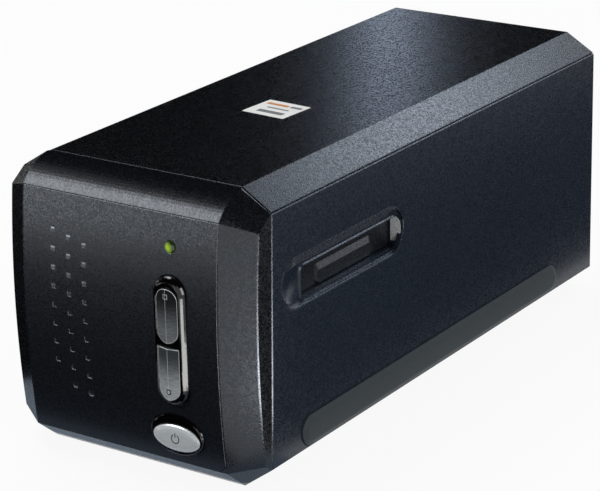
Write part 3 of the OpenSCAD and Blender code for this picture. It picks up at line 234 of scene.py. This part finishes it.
def brushed_with_painted_shade(tree, place, paint, shaded_top_colour, top, bottom):
    """Colour that turns into the darker top colour with height, a painted shade, broken up by lines that run across.
    """
    height = add_node(tree, "ShaderNodeSeparateXYZ", {}, {0: place})
    fade = remap(tree, height.outputs["Z"],
                 {"From Min": bottom, "From Max": top, "interpolation_type": "SMOOTHSTEP"})
    graded = blend(tree, paint, linear(shaded_top_colour), fade)
    stretched = add_node(tree, "ShaderNodeMapping", {"Scale": BRUSH_STRETCH}, {"Vector": place})
    brushing = add_node(tree, "ShaderNodeTexNoise", {"Scale": 1 / BRUSH_WIDTH, "Detail": 2.0},
                        {"Vector": stretched.outputs["Vector"]})
    lines = remap(tree, brushing.outputs["Fac"],
                  {"From Min": 0.35, "From Max": 0.65, "To Min": 0.72, "To Max": 1.1})
    tint = add_node(tree, "ShaderNodeVectorMath", {"operation": "SCALE"}, {0: graded, "Scale": lines})
    return tint.outputs["Vector"]


def flake_lacquer(name, colour, roughness, coat, edge_highlight_colour, shaded_top_colour="", top=0.0, bottom=0.0):
    material, tree = new_material(name)
    place = object_place(tree)
    flakes = add_node(tree, "ShaderNodeTexNoise",
                      {"Scale": 1 / FLAKE_SIZE, "Detail": 2.0, "Roughness": 0.6}, {"Vector": place})
    if shaded_top_colour:
        tinted = brushed_with_painted_shade(tree, place, linear(colour), shaded_top_colour, top, bottom)
    else:
        tinted = blend(tree, shade(colour, FLAKE_SHADE), linear(colour), flakes.outputs["Fac"])
    # Painted highlight: a bright line along each edge, where the rounded normal leaves the plain one.
    rounded = add_node(tree, "ShaderNodeBevel", {"samples": 8, "Radius": EDGE_HIGHLIGHT_RADIUS}).outputs["Normal"]
    plain = add_node(tree, "ShaderNodeNewGeometry")
    agree = add_node(tree, "ShaderNodeVectorMath", {"operation": "DOT_PRODUCT"},
                     {0: rounded, 1: plain.outputs["Normal"]})
    line = remap(tree, agree.outputs["Value"], {"From Min": EDGE_STARTS, "From Max": EDGE_FULL})
    edged = blend_over(tree, tinted, linear(edge_highlight_colour), line)
    bump = add_node(tree, "ShaderNodeBump", {"Strength": 1.0, "Distance": FLAKE_HEIGHT},
                    {"Height": flakes.outputs["Fac"], "Normal": rounded})
    return surface(material, add_node(
        tree, "ShaderNodeBsdfPrincipled",
        {"Metallic": METALLIC, "Roughness": roughness, "Coat Weight": coat, "Coat Roughness": 0.08},
        {"Base Color": edged, "Normal": bump.outputs["Normal"]}))


FADE_END, SMOKE_FADE_TOP = 2 * MM, 4 * MM
upper_low, upper_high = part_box("upper_scan_button")
lower_low, lower_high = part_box("lower_scan_button")
# The second colour of each lacquer is its painted edge highlight.
silver_lacquer = flake_lacquer("Lacquer, silver", "#c9cfd2", 0.30, 0.6, "#e4e8ea")
# The grey and smoke keys turn darker towards the top, to the last colour given: painted shade.
grey_lacquer = flake_lacquer("Lacquer, grey, brushed", "#aab0b4", 0.32, 0.6, "#dfe4e6", "#3c4144",
                             top=lower_high[2] - FADE_END, bottom=lower_low[2] + FADE_END)
smoke_lacquer = flake_lacquer("Lacquer, smoke, brushed", "#74797c", 0.26, 0.8, "#d6dadc", "#1e2022",
                              top=upper_high[2] - SMOKE_FADE_TOP, bottom=upper_low[2] + FADE_END)
dress(silver_lacquer, "power_button")
dress(grey_lacquer, "lower_scan_button")
dress(smoke_lacquer, "upper_scan_button")
print("upper key in mm:", [round(v * 1000, 2) for v in (*upper_low, *upper_high)])
print("lower key in mm:", [round(v * 1000, 2) for v in (*lower_low, *lower_high)])

# %% [markdown]
# ## Metals
# Rods and pins are ground: fine lines run round them. Sheet and screws are zinc plated, which is slightly
# mottled. All of them share one recipe, with the colour, the roughness and the size of the mottle changed.

# %% Metals
METAL_RADIUS = 0.15 * MM
ROUGHNESS_SPREAD, METAL_SHADE = 0.08, 0.86
TURNED = (0.2, 6, 0.2)


def metal(name, colour, roughness, mottle_mm, stretch=(1, 1, 1)):
    material, tree = new_material(name)
    scaled = add_node(tree, "ShaderNodeMapping", {"Scale": stretch}, {"Vector": object_place(tree)})
    mottle = add_node(tree, "ShaderNodeTexNoise", {"Scale": 1 / (mottle_mm * MM), "Detail": 4.0},
                      {"Vector": scaled.outputs["Vector"]}).outputs["Fac"]
    gloss = remap(tree, mottle, {"To Min": roughness - ROUGHNESS_SPREAD, "To Max": roughness + ROUGHNESS_SPREAD})
    tint = blend(tree, shade(colour, METAL_SHADE), linear(colour), mottle)
    rounded = add_node(tree, "ShaderNodeBevel", {"samples": 4, "Radius": METAL_RADIUS})
    return surface(material, add_node(
        tree, "ShaderNodeBsdfPrincipled", {"Metallic": 1.0},
        {"Base Color": tint, "Roughness": gloss, "Normal": rounded.outputs["Normal"]}))


ground_steel = metal("Steel, ground", "#c9ccce", 0.25, 0.4, TURNED)
zinc_plate = metal("Steel, zinc plated", "#b9bdc0", 0.36, 3.0)
spring_steel = metal("Steel, spring wire", "#a5a8ab", 0.30, 0.8)
sintered_bronze = metal("Bronze, sintered", "#b08a54", 0.50, 0.5)
turned_brass = metal("Brass, turned", "#c9a659", 0.30, 0.4, TURNED)
black_anodised = metal("Aluminium, black anodised", "#2a2b2e", 0.42, 0.6)
motor_steel = metal("Steel, drawn and plated", "#999da0", 0.33, 4.0)
silvered_glass = metal("Glass, front silvered", "#dfe6ea", 0.09, 20.0)

dress(ground_steel, "guide_rods", "lead_screw", "right_door_pin", "left_door_pin")
dress(zinc_plate, "chassis_plate", "motor_bracket", "guide_posts", "guide_screws", "chassis_screws",
      "board_screws", "button_board_screws", "cover_screws", "rear_screws", "usb_port")
dress(spring_steel, "door_springs")
dress(sintered_bronze, "screw_bushes")
dress(turned_brass, "shaft_coupler")
dress(black_anodised, "lens_barrel")
dress(motor_steel, "stepper_motor")
dress(silvered_glass, "fold_mirror")
print("plastics, lacquers and metals:", len(bpy.data.materials))

# %% [markdown]
# ## Circuit boards, glass and the status light
# A board's green is a thin resist over copper tracks, so a second, blocky pattern lightens it where the copper
# lies. The lens is clear glass. The status light is a dyed lens with a lit chip behind it, so it glows a little; the
# bright yellow-green spot left of and below its middle is a painted highlight.

# %% Boards, lens glass and light
TRACK_SIZE, RESIST_STEP = 3.2 * MM, 0.03 * MM
COATING_SIZE = 12 * MM
LED_HIGHLIGHT_LEFT, LED_HIGHLIGHT_DOWN = 1.1 * MM, 0.3 * MM
LED_HIGHLIGHT_CORE, LED_HIGHLIGHT_REACH = 0.8 * MM, 2.6 * MM


def circuit_board():
    material, tree = new_material("Epoxy glass, green resist")
    tracks = add_node(tree, "ShaderNodeTexVoronoi",
                      {"distance": "CHEBYCHEV", "feature": "F1", "Scale": 1 / TRACK_SIZE},
                      {"Vector": object_place(tree)})
    edge = remap(tree, tracks.outputs["Distance"], {"From Min": 0.35, "From Max": 0.4})
    tint = blend(tree, linear("#2f7a4c"), linear("#1f5a38"), edge)
    bump = add_node(tree, "ShaderNodeBump", {"Strength": 0.4, "Distance": RESIST_STEP, "invert": True},
                    {"Height": edge})
    return surface(material, add_node(tree, "ShaderNodeBsdfPrincipled", {"Roughness": 0.3, "IOR": 1.55},
                                      {"Base Color": tint, "Normal": bump.outputs["Normal"]}))


def lens_glass():
    material, tree = new_material("Glass, coated")
    coating = add_node(tree, "ShaderNodeTexNoise", {"Scale": 1 / COATING_SIZE}, {"Vector": object_place(tree)})
    tint = blend(tree, linear("#dceff5"), linear("#e9e3f6"), coating.outputs["Fac"])
    return surface(material, add_node(tree, "ShaderNodeBsdfPrincipled",
                                      {"Roughness": 0.02, "IOR": 1.52, "Transmission Weight": 1.0},
                                      {"Base Color": tint}))


def status_light():
    material, tree = new_material("Epoxy lens, green")
    low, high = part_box("status_led")
    # Painted highlight: the lens turns lighter yellow-green round a point left of and below its middle, and glows
    # more there.
    centre = ((low[0] + high[0]) / 2 - LED_HIGHLIGHT_LEFT, low[1], (low[2] + high[2]) / 2 - LED_HIGHLIGHT_DOWN)
    away = add_node(tree, "ShaderNodeVectorMath", {"operation": "DISTANCE", 1: centre}, {0: object_place(tree)})
    spot = remap(tree, away.outputs["Value"],
                 {"From Min": LED_HIGHLIGHT_CORE, "From Max": LED_HIGHLIGHT_REACH, "To Min": 1.0, "To Max": 0.0})
    tint = blend(tree, linear("#1f3010"), linear("#a9cc3e"), spot)
    return surface(material, add_node(
        tree, "ShaderNodeBsdfPrincipled",
        {"Roughness": 0.15, "IOR": 1.52, "Emission Strength": 0.35, "Coat Weight": 0.5},
        {"Base Color": tint, "Emission Color": tint}))


dress(circuit_board(), "button_board", "main_board", "sensor_board")
dress(lens_glass(), "lens_glass")
dress(status_light(), "status_led")
bare = [n for n, o in nodes.items() if not o.data.materials or not o.data.materials[0].use_nodes]
print("nodes without a finish:", bare)

# %% [markdown]
# ## A paper label and printed marks
# Some things on the scanner come from no mould: a small paper label on the cover, and marks printed on the keys.
# An image on the surface would do for a game, but thin real sheets catch the light at their edges, so each is a
# flat outline that is cut, rounded and given a thickness of a few hundredths of a millimetre. The label bears
# plain bars instead of words.

# %% Helpers for thin sheets
FIBRE_HEIGHT = 0.004 * MM
SHEET_SEGMENTS = 5


def paper_and_ink(name, colour, roughness, fibre_mm, contrast=0.08):
    material, tree = new_material(name)
    fibre = add_node(tree, "ShaderNodeTexNoise", {"Scale": 1 / (fibre_mm * MM), "Detail": 4.0, "Roughness": 0.6},
                     {"Vector": object_place(tree)}).outputs["Fac"]
    tint = blend(tree, shade(colour, 1 - contrast), linear(colour),
                 remap(tree, fibre, {"From Min": 0.35, "From Max": 0.65}))
    bump = add_node(tree, "ShaderNodeBump", {"Strength": 0.5, "Distance": FIBRE_HEIGHT}, {"Height": fibre})
    return surface(material, add_node(tree, "ShaderNodeBsdfPrincipled", {"Roughness": roughness, "IOR": 1.5},
                                      {"Base Color": tint, "Normal": bump.outputs["Normal"]}))


def settle():
    """Applies place, turn and size of what is selected, so that its origin lies at the world's."""
    bpy.ops.object.transform_apply(location=True, rotation=True, scale=True)


def pick(*pieces):
    """Selects these pieces alone and makes the first one active."""
    bpy.ops.object.select_all(action="DESELECT")
    for piece in pieces:
        piece.select_set(True)
    bpy.context.view_layer.objects.active = pieces[0]


def rectangle(name, centre, size, rotation=(0, 0, 0)):
    bpy.ops.object.select_all(action="DESELECT")
    bpy.ops.mesh.primitive_plane_add(size=1, location=centre, rotation=rotation)
    piece = bpy.context.active_object
    piece.name = piece.data.name = name
    piece.scale = (*size, 1)
    settle()
    return piece


def close_surface():
    """Turns all faces outwards and leaves edit mode."""
    bpy.ops.mesh.select_all(action="SELECT")
    bpy.ops.mesh.normals_make_consistent(inside=False)
    bpy.ops.object.mode_set(mode="OBJECT")


def round_and_thicken(corner, segments, thickness):
    """In edit mode: rounds the selected corners of a flat outline and gives it a thickness."""
    bpy.ops.mesh.bevel(offset=corner, offset_pct=0, segments=segments, affect="VERTICES")
    bpy.ops.mesh.select_all(action="SELECT")
    bpy.ops.mesh.extrude_region_move(TRANSFORM_OT_translate={"value": (0, 0, thickness)})
    close_surface()


def thin_sheet(name, centre, size, turn, thickness, corner):
    """A rectangle with rounded corners that lies on the plane z = centre's z, in metres."""
    sheet = rectangle(name, centre, size, (0, 0, turn))
    bpy.ops.object.mode_set(mode="EDIT")
    bpy.ops.mesh.select_all(action="SELECT")
    round_and_thicken(corner, SHEET_SEGMENTS, thickness)
    return sheet


def joined(name, sheets):
    pick(*sheets)
    settle()
    if len(sheets) > 1:
        bpy.ops.object.join()
    sheets[0].name = sheets[0].data.name = name
    return sheets[0]


def finish_piece(piece, material, body):
    pick(piece)
    settle()
    piece.data.materials.clear()
    piece.data.materials.append(material)
    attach(piece, body)
    print(piece.name, "faces:", len(piece.data.polygons))


# %% The label on the cover
label_paper = paper_and_ink("Paper, coated", "#f2f2ef", 0.45, 0.6)
orange_ink = paper_and_ink("Ink, orange", "#cf8a4c", 0.5, 0.5)
grey_ink = paper_and_ink("Ink, grey", "#77797d", 0.5, 0.5)

PAPER, INK = 0.06 * MM, 0.02 * MM
LABEL_SIZE, LABEL_CORNER, BAR_CORNER = (21.0 * MM, 18.9 * MM), 0.6 * MM, 0.3 * MM
# Each bar: its middle across and back from the label's middle, its width and its height, in millimetres
ORANGE_BARS = [(-3.0, 5.2, 11.0, 2.2)]
GREY_BARS = [(6.2, 5.2, 5.6, 2.2), (0.4, 0.6, 11.0, 1.3), (0.6, -4.6, 13.0, 3.0)]
cover_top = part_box("top_cover")[1][2]
label_centre = Vector((0.03 * MM, -26.85 * MM, cover_top))
label_turn = math.radians(-3.5)


def on_label(across, back):
    """A place on the label, given in millimetres from its middle along its own edges."""
    spot = Vector((across * MM, back * MM, 0))
    spot.rotate(Matrix.Rotation(label_turn, 3, "Z"))
    return label_centre + spot + Vector((0, 0, PAPER))


def printed_bars(name, bars, ink):
    sheets = [thin_sheet("bar", on_label(across, back), (wide * MM, high * MM), label_turn, INK, BAR_CORNER)
              for across, back, wide, high in bars]
    finish_piece(joined(name, sheets), ink, "housing")


label = thin_sheet("cover_label", label_centre, LABEL_SIZE, label_turn, PAPER, LABEL_CORNER)
finish_piece(label, label_paper, "housing")
printed_bars("cover_label_orange_bar", ORANGE_BARS, orange_ink)
printed_bars("cover_label_grey_bars", GREY_BARS, grey_ink)

# %% [markdown]
# ## The marks on the keys
# The power key shows the usual open ring with a stroke. A short strip is spun round the key's axis for the ring,
# and the stroke is a second strip. The two scan keys carry a small square and a small ring, which are folded
# along the key's ridge: the outline is bisected there, and each half is turned back by the slope of its flank.

# %% Power mark
QUARTER_TURN = math.radians(90)
SPIN_STEPS, SAME_SPOT = 36, 1e-7


def upright(piece, spot):
    """Stands a sheet made flat at the origin up against a front face, its middle at spot."""
    pick(piece)
    piece.rotation_euler = (QUARTER_TURN, 0, 0)
    piece.location = spot
    settle()
    return piece


def spun_ring(name, radius, stroke, thickness, opening):
    """A flat ring at the origin, with an opening given in degrees."""
    ring = rectangle(name, (radius, 0, thickness / 2), (stroke, thickness), (QUARTER_TURN, 0, 0))
    bpy.ops.object.mode_set(mode="EDIT")
    bpy.ops.mesh.select_all(action="SELECT")
    bpy.ops.mesh.spin(steps=SPIN_STEPS, angle=math.radians(360 - opening), center=(0, 0, 0), axis=(0, 0, 1))
    bpy.ops.mesh.select_all(action="SELECT")
    bpy.ops.mesh.remove_doubles(threshold=SAME_SPOT)
    if opening:
        bpy.ops.mesh.select_all(action="DESELECT")
        bpy.ops.mesh.select_non_manifold()
        bpy.ops.mesh.edge_face_add()
    close_surface()
    return ring


key_ink = paper_and_ink("Ink, black", "#26282b", 0.35, 0.5)
cap_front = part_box("power_button")[0][1]
ring_low, ring_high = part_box("power_button_ring")
ridge_x = (ring_low[0] + ring_high[0]) / 2
POWER_MARK_Z = 20.6 * MM
RING_RADIUS, RING_STROKE, RING_OPENING = 1.75 * MM, 0.38 * MM, 60
STROKE_MIDDLE, STROKE_SIZE, STROKE_CORNER = (0, 1.45 * MM, 0), (0.4 * MM, 1.9 * MM), 0.1 * MM
power_ring = spun_ring("power_ring", RING_RADIUS, RING_STROKE, INK, RING_OPENING)
power_ring.rotation_euler = (0, 0, math.radians(90 - RING_OPENING / 2))
stroke = thin_sheet("power_stroke", STROKE_MIDDLE, STROKE_SIZE, 0, INK, STROKE_CORNER)
power_mark = upright(joined("power_mark", [power_ring, stroke]), (ridge_x, cap_front, POWER_MARK_Z))
finish_piece(power_mark, key_ink, "power")
print("front of the power key in mm:", round(cap_front * 1000, 2))

# %% Square and ring, folded over the ridge of the scan keys
FLANK_FALL, FLANK_WIDTH = 1, 4.8
FLANK_ANGLE = math.atan(FLANK_FALL / FLANK_WIDTH)
CLEAR_OF_RIDGE = 1e-6


def folded(piece):
    """Cuts a flat sheet along x = 0 and turns each half back about that line, as the key's flanks lie."""
    pick(piece)
    settle()
    bpy.ops.object.mode_set(mode="EDIT")
    bpy.ops.mesh.select_all(action="SELECT")
    bpy.ops.mesh.bisect(plane_co=(0, 0, 0), plane_no=(1, 0, 0), use_fill=False)
    for side in (-1, 1):
        bpy.ops.object.mode_set(mode="OBJECT")
        vertices = piece.data.vertices
        for vertex in vertices:
            vertex.select = vertex.co.x * side > CLEAR_OF_RIDGE
        for part in (*piece.data.edges, *piece.data.polygons):
            part.select = all(vertices[v].select for v in part.vertices)
        bpy.ops.object.mode_set(mode="EDIT")
        bpy.ops.transform.rotate(value=-side * FLANK_ANGLE, orient_axis="Y", center_override=(0, 0, 0))
    bpy.ops.object.mode_set(mode="OBJECT")
    return piece


def scan_mark(name, sheets, key, up_from_low, body, ink):
    """Folds the sheets over a key's ridge, at a share of the key's height above its lower end."""
    low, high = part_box(key)
    mark = folded(joined(name, sheets))
    print(name, "height over the ridge in mm:", round(max(v.co.z for v in mark.data.vertices) * 1000, 3))
    spot = (ridge_x, low[1], low[2] + up_from_low * (high[2] - low[2]))
    finish_piece(upright(mark, spot), ink, body)


# The square's sides: middle x, middle y, width and height, in millimetres
SQUARE_SIDES = [(0, 0.85, 2.0, 0.3), (0, -0.85, 2.0, 0.3), (0.85, 0, 0.3, 1.42), (-0.85, 0, 0.3, 1.42)]
SIDE_CORNER = 0.05 * MM
DOT_RADIUS, DOT_STROKE = 0.95 * MM, 0.42 * MM
NEAR_TOP, NEAR_FOOT = 0.86, 0.16
frame_sides = [thin_sheet("side", (x * MM, y * MM, 0), (w * MM, h * MM), 0, INK, SIDE_CORNER)
               for x, y, w, h in SQUARE_SIDES]
light_ink = paper_and_ink("Ink, silver", "#b4b8bb", 0.35, 0.5)
scan_mark("upper_scan_mark", frame_sides, "upper_scan_button", NEAR_TOP, "upper_scan", light_ink)
small_ring = spun_ring("ring", DOT_RADIUS, DOT_STROKE, INK, 0)
scan_mark("lower_scan_mark", [small_ring], "lower_scan_button", NEAR_FOOT, "lower_scan", key_ink)

# %% [markdown]
# ## Pale pads in the film slots
# The rear end of each slot's mouth has a pale pad 0.2 mm thick. Its pale colour is painted light, standing in for
# the light that the mouth's end wall catches. Cut flat, each is a rectangle whose outer corners are rounded, so
# two corners of a plane are bevelled before the plane gets its thickness. The pad has no direction, so a coarse
# mottle and soft bumps are enough.

# %% Pale pads, painted light
# The pads' pale colour is painted light, for the light on the mouth's end wall.
pale_pad_paint = paper_and_ink("Pad, pale grey, painted light", "#dde2e3", 0.9, 0.7, contrast=0.5)
PAD_WIDTH, PAD_HEIGHT, PAD_THICKNESS, PAD_CORNER = 4.7 * MM, 10.8 * MM, 0.2 * MM, 3.6 * MM
PAD_INNER_X, PAD_LOW_Z, MOUTH_END_Y = 52.7 * MM, 71.8 * MM, -24.9 * MM
PAD_SEGMENTS = 6


def mouth_pad(name, side):
    """A pad that stands on the rear end of a slot's mouth and looks forward; side is 1 for the right slot."""
    middle_x = PAD_INNER_X + PAD_WIDTH / 2
    pad = rectangle(name, (side * middle_x, PAD_HEIGHT / 2, 0), (PAD_WIDTH, PAD_HEIGHT))
    for vertex in pad.data.vertices:
        vertex.select = abs(vertex.co.x) > middle_x
    for part in (*pad.data.edges, *pad.data.polygons):
        part.select = False
    bpy.ops.object.mode_set(mode="EDIT")
    round_and_thicken(PAD_CORNER, PAD_SEGMENTS, PAD_THICKNESS)
    finish_piece(upright(pad, (0, MOUTH_END_Y, PAD_LOW_Z)), pale_pad_paint, "housing")


mouth_pad("right_mouth_pad", 1)
mouth_pad("left_mouth_pad", -1)

# %% [markdown]
# ## The floor and the room
# The scanner stands on a plain pale floor in soft light. A Light Path node makes floor and room white to the
# camera, to mirror rays and to rays through glass, so that polished parts show the same white that the eye sees.
# The floor keeps a part of its own lit paper, so the scanner's soft shadow stays on it.

# %% Floor and world
FLOOR_SIZE = 12
FLOOR_GLOW = 0.92
ROOM_LIGHT = 0.25
WHITE = (1, 1, 1, 1)


def background_ray(tree):
    path = add_node(tree, "ShaderNodeLightPath")
    mirror_or_eye = add_node(tree, "ShaderNodeMath", {"operation": "MAXIMUM"},
                             {0: path.outputs["Is Camera Ray"], 1: path.outputs["Is Glossy Ray"]})
    seen = add_node(tree, "ShaderNodeMath", {"operation": "MAXIMUM"},
                    {0: mirror_or_eye.outputs[0], 1: path.outputs["Is Transmission Ray"]})
    return seen.outputs[0]


def plain_floor():
    bpy.ops.object.select_all(action="DESELECT")
    bpy.ops.mesh.primitive_plane_add(size=FLOOR_SIZE, location=(0, 0, 0))
    floor = bpy.context.active_object
    floor.name = "studio_floor"
    material, tree = new_material("Paper, white")
    paper = add_node(tree, "ShaderNodeBsdfDiffuse", {"Color": linear("#e4e4e4")})
    white = add_node(tree, "ShaderNodeEmission", {"Color": WHITE, "Strength": 1.0})
    share = add_node(tree, "ShaderNodeMath", {"operation": "MULTIPLY", 1: FLOOR_GLOW}, {0: background_ray(tree)})
    mixed = add_node(tree, "ShaderNodeMixShader", {},
                     {0: share.outputs[0], 1: paper.outputs[0], 2: white.outputs[0]})
    floor.data.materials.append(surface(material, mixed))


plain_floor()
world = bpy.data.worlds.new("studio")
bpy.context.scene.world = world
world.use_nodes = True
room = world.node_tree
room.nodes.clear()
strength = remap(room, background_ray(room), {"To Min": ROOM_LIGHT, "To Max": 1.0})
sky = add_node(room, "ShaderNodeBackground", {"Color": WHITE}, {"Strength": strength})
add_node(room, "ShaderNodeOutputWorld", links={"Surface": sky.outputs[0]})
print("floor glow:", FLOOR_GLOW, "room light:", ROOM_LIGHT)

# %% [markdown]
# ## Soft boxes and black flags
# Black plastic shows almost nothing of its own colour: what the eye sees on it is the room. Studios light such a
# thing with large soft boxes, placed where a face should mirror light, and with black cloth, called flags, where
# it should stay dark. Each is placed by the direction in which a face sends the eye. Light linking lets some boxes
# shine on one or a few pieces only, so that a face is lit without a change to its neighbours. The flags are hidden
# from the camera and cast no shadow, so they change nothing but the reflections.

# %% Helpers for soft boxes and flags
MIDDLE = Vector((0.0, 0.0, 0.06))
ON_FLOOR, PATCH_HEIGHT = 0.002, 0.004
UP = (0, 0, 1)


def light_only(lamp, names, leave_out=False):
    """Lets a lamp shine on some nodes only, or on everything but them."""
    lit = bpy.data.collections.new("lit_by_" + lamp.name)
    for node in names.split():
        lit.objects.link(nodes[node])
    lamp.light_linking.receiver_collection = lit
    for member in lit.collection_objects:
        member.light_linking.link_state = "EXCLUDE" if leave_out else "INCLUDE"


def area_lamp(name, width, height, watts, only="", without=""):
    data = bpy.data.lights.new(name, "AREA")
    data.shape, data.size, data.size_y, data.energy = "RECTANGLE", width, height, watts
    lamp = bpy.data.objects.new(name, data)
    bpy.context.scene.collection.objects.link(lamp)
    if only or without:
        light_only(lamp, only or without, leave_out=bool(without))
    return lamp


def soft_box(name, direction, distance, width, height, watts, colour="#ffffff", only="", without=""):
    """A lamp that looks at the scanner's middle, from a direction and a distance in metres."""
    lamp = area_lamp(name, width, height, watts, only, without)
    lamp.data.color = linear(colour)[:3]
    way = Vector(direction).normalized()
    lamp.location = MIDDLE + way * distance
    lamp.rotation_euler = way.to_track_quat("Z", "Y").to_euler()


def floor_patch(name, middle, size, turn, watts, only=""):
    """A small lamp that lies on the floor beside the picture and shines upwards, on some nodes only if named."""
    lamp = area_lamp(name, *size, watts, only)
    lamp.location = (*middle, PATCH_HEIGHT)
    lamp.rotation_euler = (math.pi, 0, math.radians(turn))
    lamp.visible_camera = lamp.visible_diffuse = False


def place_flag(name, location, facing, width, depth, material):
    """A flat card that only mirroring faces see."""
    bpy.ops.object.select_all(action="DESELECT")
    turned = Vector(facing).to_track_quat("Z", "Y").to_euler()
    bpy.ops.mesh.primitive_plane_add(size=1, location=location, rotation=turned)
    flag = bpy.context.active_object
    flag.name = name
    flag.scale = (width, depth, 1)
    flag.data.materials.append(material)
    flag.visible_camera = flag.visible_diffuse = flag.visible_shadow = flag.visible_transmission = False


# %% Soft boxes
ICE = "#e6f1ff"
# Boxes that light everything: left, front right, above. Two of them leave out the bezel, whose rolled top edge
# would mirror them as bright bands
soft_box("box_left", (-0.63, 0.02, 0.78), 1.6, 0.7, 0.7, 4.2, without="front_bezel")
soft_box("box_right", (0.90, -0.32, 0.28), 1.8, 0.8, 0.7, 12)
soft_box("box_above", (-0.40, 0.05, 1.0), 1.2, 0.5, 0.5, 6, without="front_bezel")
# Boxes at the front left: one for the painted keys, a tall one for the lower rims of the panel's pits
soft_box("box_keys", (-0.53, -0.62, 0.58), 1.6, 0.6, 0.6, 15,
         only="upper_scan_button lower_scan_button power_button")
soft_box("box_pits", (-0.416, -0.616, 0.669), 1.6, 0.5, 1.1, 24, only="front_panel")
# Two boxes for the bezel's rolled top edge: one brightens it towards the panel, a weak one makes that fade softer
soft_box("box_roll", (-0.57, -0.54, 0.65), 1.6, 0.8, 0.8, 10.5, only="front_bezel")
soft_box("box_roll_fade", (-0.62, -0.20, 0.77), 1.6, 0.9, 0.9, 0.9, only="front_bezel")
# Boxes that one face mirrors: the sloped band, the cover's top, the slot's lip, its sill and its door
soft_box("box_band", (0.02, 0.799, 0.602), 1.6, 0.5, 0.20, 2.1, ICE)
soft_box("box_cover", (-0.858, 1.424, 0.497), 1.735, 0.06, 0.42, 0.165, "#d6e6ff")
soft_box("box_lip", (0.40, 0.77, 0.50), 1.6, 0.4, 0.30, 2.5, ICE)
soft_box("box_sill", (0.159, 0.595, 0.788), 1.6, 0.4, 0.40, 14, ICE, only="right_slot_frame")
soft_box("box_door", (0.615, 0.787, 0.075), 1.2, 0.30, 0.12, 0.2, ICE, only="right_dust_door")
# Lamps on the floor: for the front panel's top, the bezel's outer edge and the surround's flank
floor_patch("patch_panel", (-0.49, -0.73), (0.50, 0.55), 52, 5.6)
floor_patch("patch_edge", (0.235, -0.165), (0.24, 0.12), -15, 1.8, only="front_bezel lower_case")
floor_patch("patch_flank", (0.150, -0.215), (0.12, 0.12), -36, 0.46,
            only="button_surround power_button_ring front_panel")
print("lamps:", len(bpy.data.lights))

# %% Black flags and a pale card
cloth, cloth_tree = new_material("Cloth, black")
surface(cloth, add_node(cloth_tree, "ShaderNodeBsdfDiffuse", {"Color": linear("#050505")}))
# Floor flags: right of the side wall, left of the body and before the front panel
place_flag("flag_right", (0.185, 0.22, ON_FLOOR), UP, 0.22, 0.70, cloth)
place_flag("flag_scoop", (0.80, 0.08, ON_FLOOR), UP, 0.90, 0.34, cloth)
place_flag("flag_left", (-0.67, 0.1, ON_FLOOR), UP, 1.17, 2.4, cloth)
place_flag("flag_front", (-0.21, -0.35, ON_FLOOR), UP, 0.54, 0.41, cloth)
# Standing flags: behind on both sides, far right, at the front left, and a large one overhead
place_flag("flag_behind_left", (-1.60, 1.40, 0.95), (0.75, -0.66, 0), 2.6, 1.9, cloth)
place_flag("flag_behind_right", (1.50, 1.32, 0.62), (-0.75, -0.66, 0), 2.6, 0.6, cloth)
place_flag("flag_far_right", (1.60, 0.20, 0.15), (-1, 0, 0), 1.2, 0.3, cloth)
place_flag("flag_front_left", (-1.35, -1.45, 0.5), (0.68, 0.73, 0), 2.6, 1.0, cloth)
place_flag("flag_above", (0, 0, 1.4), (0, 0, -1), 5.0, 5.0, cloth)
# A pale blue card on the floor under the front: the bezel's lower slope mirrors it
pale_card, card_tree = new_material("Card, pale blue")
surface(pale_card, add_node(card_tree, "ShaderNodeEmission", {"Color": linear("#b4c3d4"), "Strength": 0.7}))
place_flag("card_under", (0, -0.120, 0.0025), UP, 0.20, 0.05, pale_card)

# %% [markdown]
# ## The camera
# A long lens looks down on the front right corner. The lens length, the height and the small shift were
# worked out from the edges of the body, so that each corner falls where it should.

# %% Camera
AZIMUTH, ELEVATION, ROLL = 0.598181, 0.335511, -0.02252
CAMERA_PLACE = (0.54444, -0.80797, 0.40338)
# The picture's size, its optical centre and the lens length, all in pixels
PICTURE_WIDTH, PICTURE_HEIGHT = 600, 491
CENTRE_X, CENTRE_Y, FOCAL_LENGTH = 303.56, 219.70, 2453.04
SENSOR_MM = 36

look = Vector((-math.sin(AZIMUTH) * math.cos(ELEVATION), math.cos(AZIMUTH) * math.cos(ELEVATION),
               -math.sin(ELEVATION)))
right = look.cross(Vector(UP)).normalized()
up = right.cross(look)
right, up = (math.cos(ROLL) * right + math.sin(ROLL) * up, -math.sin(ROLL) * right + math.cos(ROLL) * up)
camera_data = bpy.data.cameras.new("camera")
camera_data.sensor_width = SENSOR_MM
camera_data.lens = FOCAL_LENGTH / PICTURE_WIDTH * SENSOR_MM
camera_data.shift_x = -(CENTRE_X - PICTURE_WIDTH / 2) / PICTURE_WIDTH
camera_data.shift_y = (CENTRE_Y - PICTURE_HEIGHT / 2) / PICTURE_WIDTH
camera_data.clip_start, camera_data.clip_end = 0.05, 20
camera = bpy.data.objects.new("camera", camera_data)
bpy.context.scene.collection.objects.link(camera)
turn = Matrix((right, up, -look)).transposed().to_4x4()
camera.matrix_world = Matrix.Translation(Vector(CAMERA_PLACE)) @ turn
bpy.context.scene.camera = camera
print("lens in mm:", round(camera_data.lens, 1))

# %% Colour management
bpy.context.scene.view_settings.view_transform = "Standard"
bpy.context.view_layer.update()
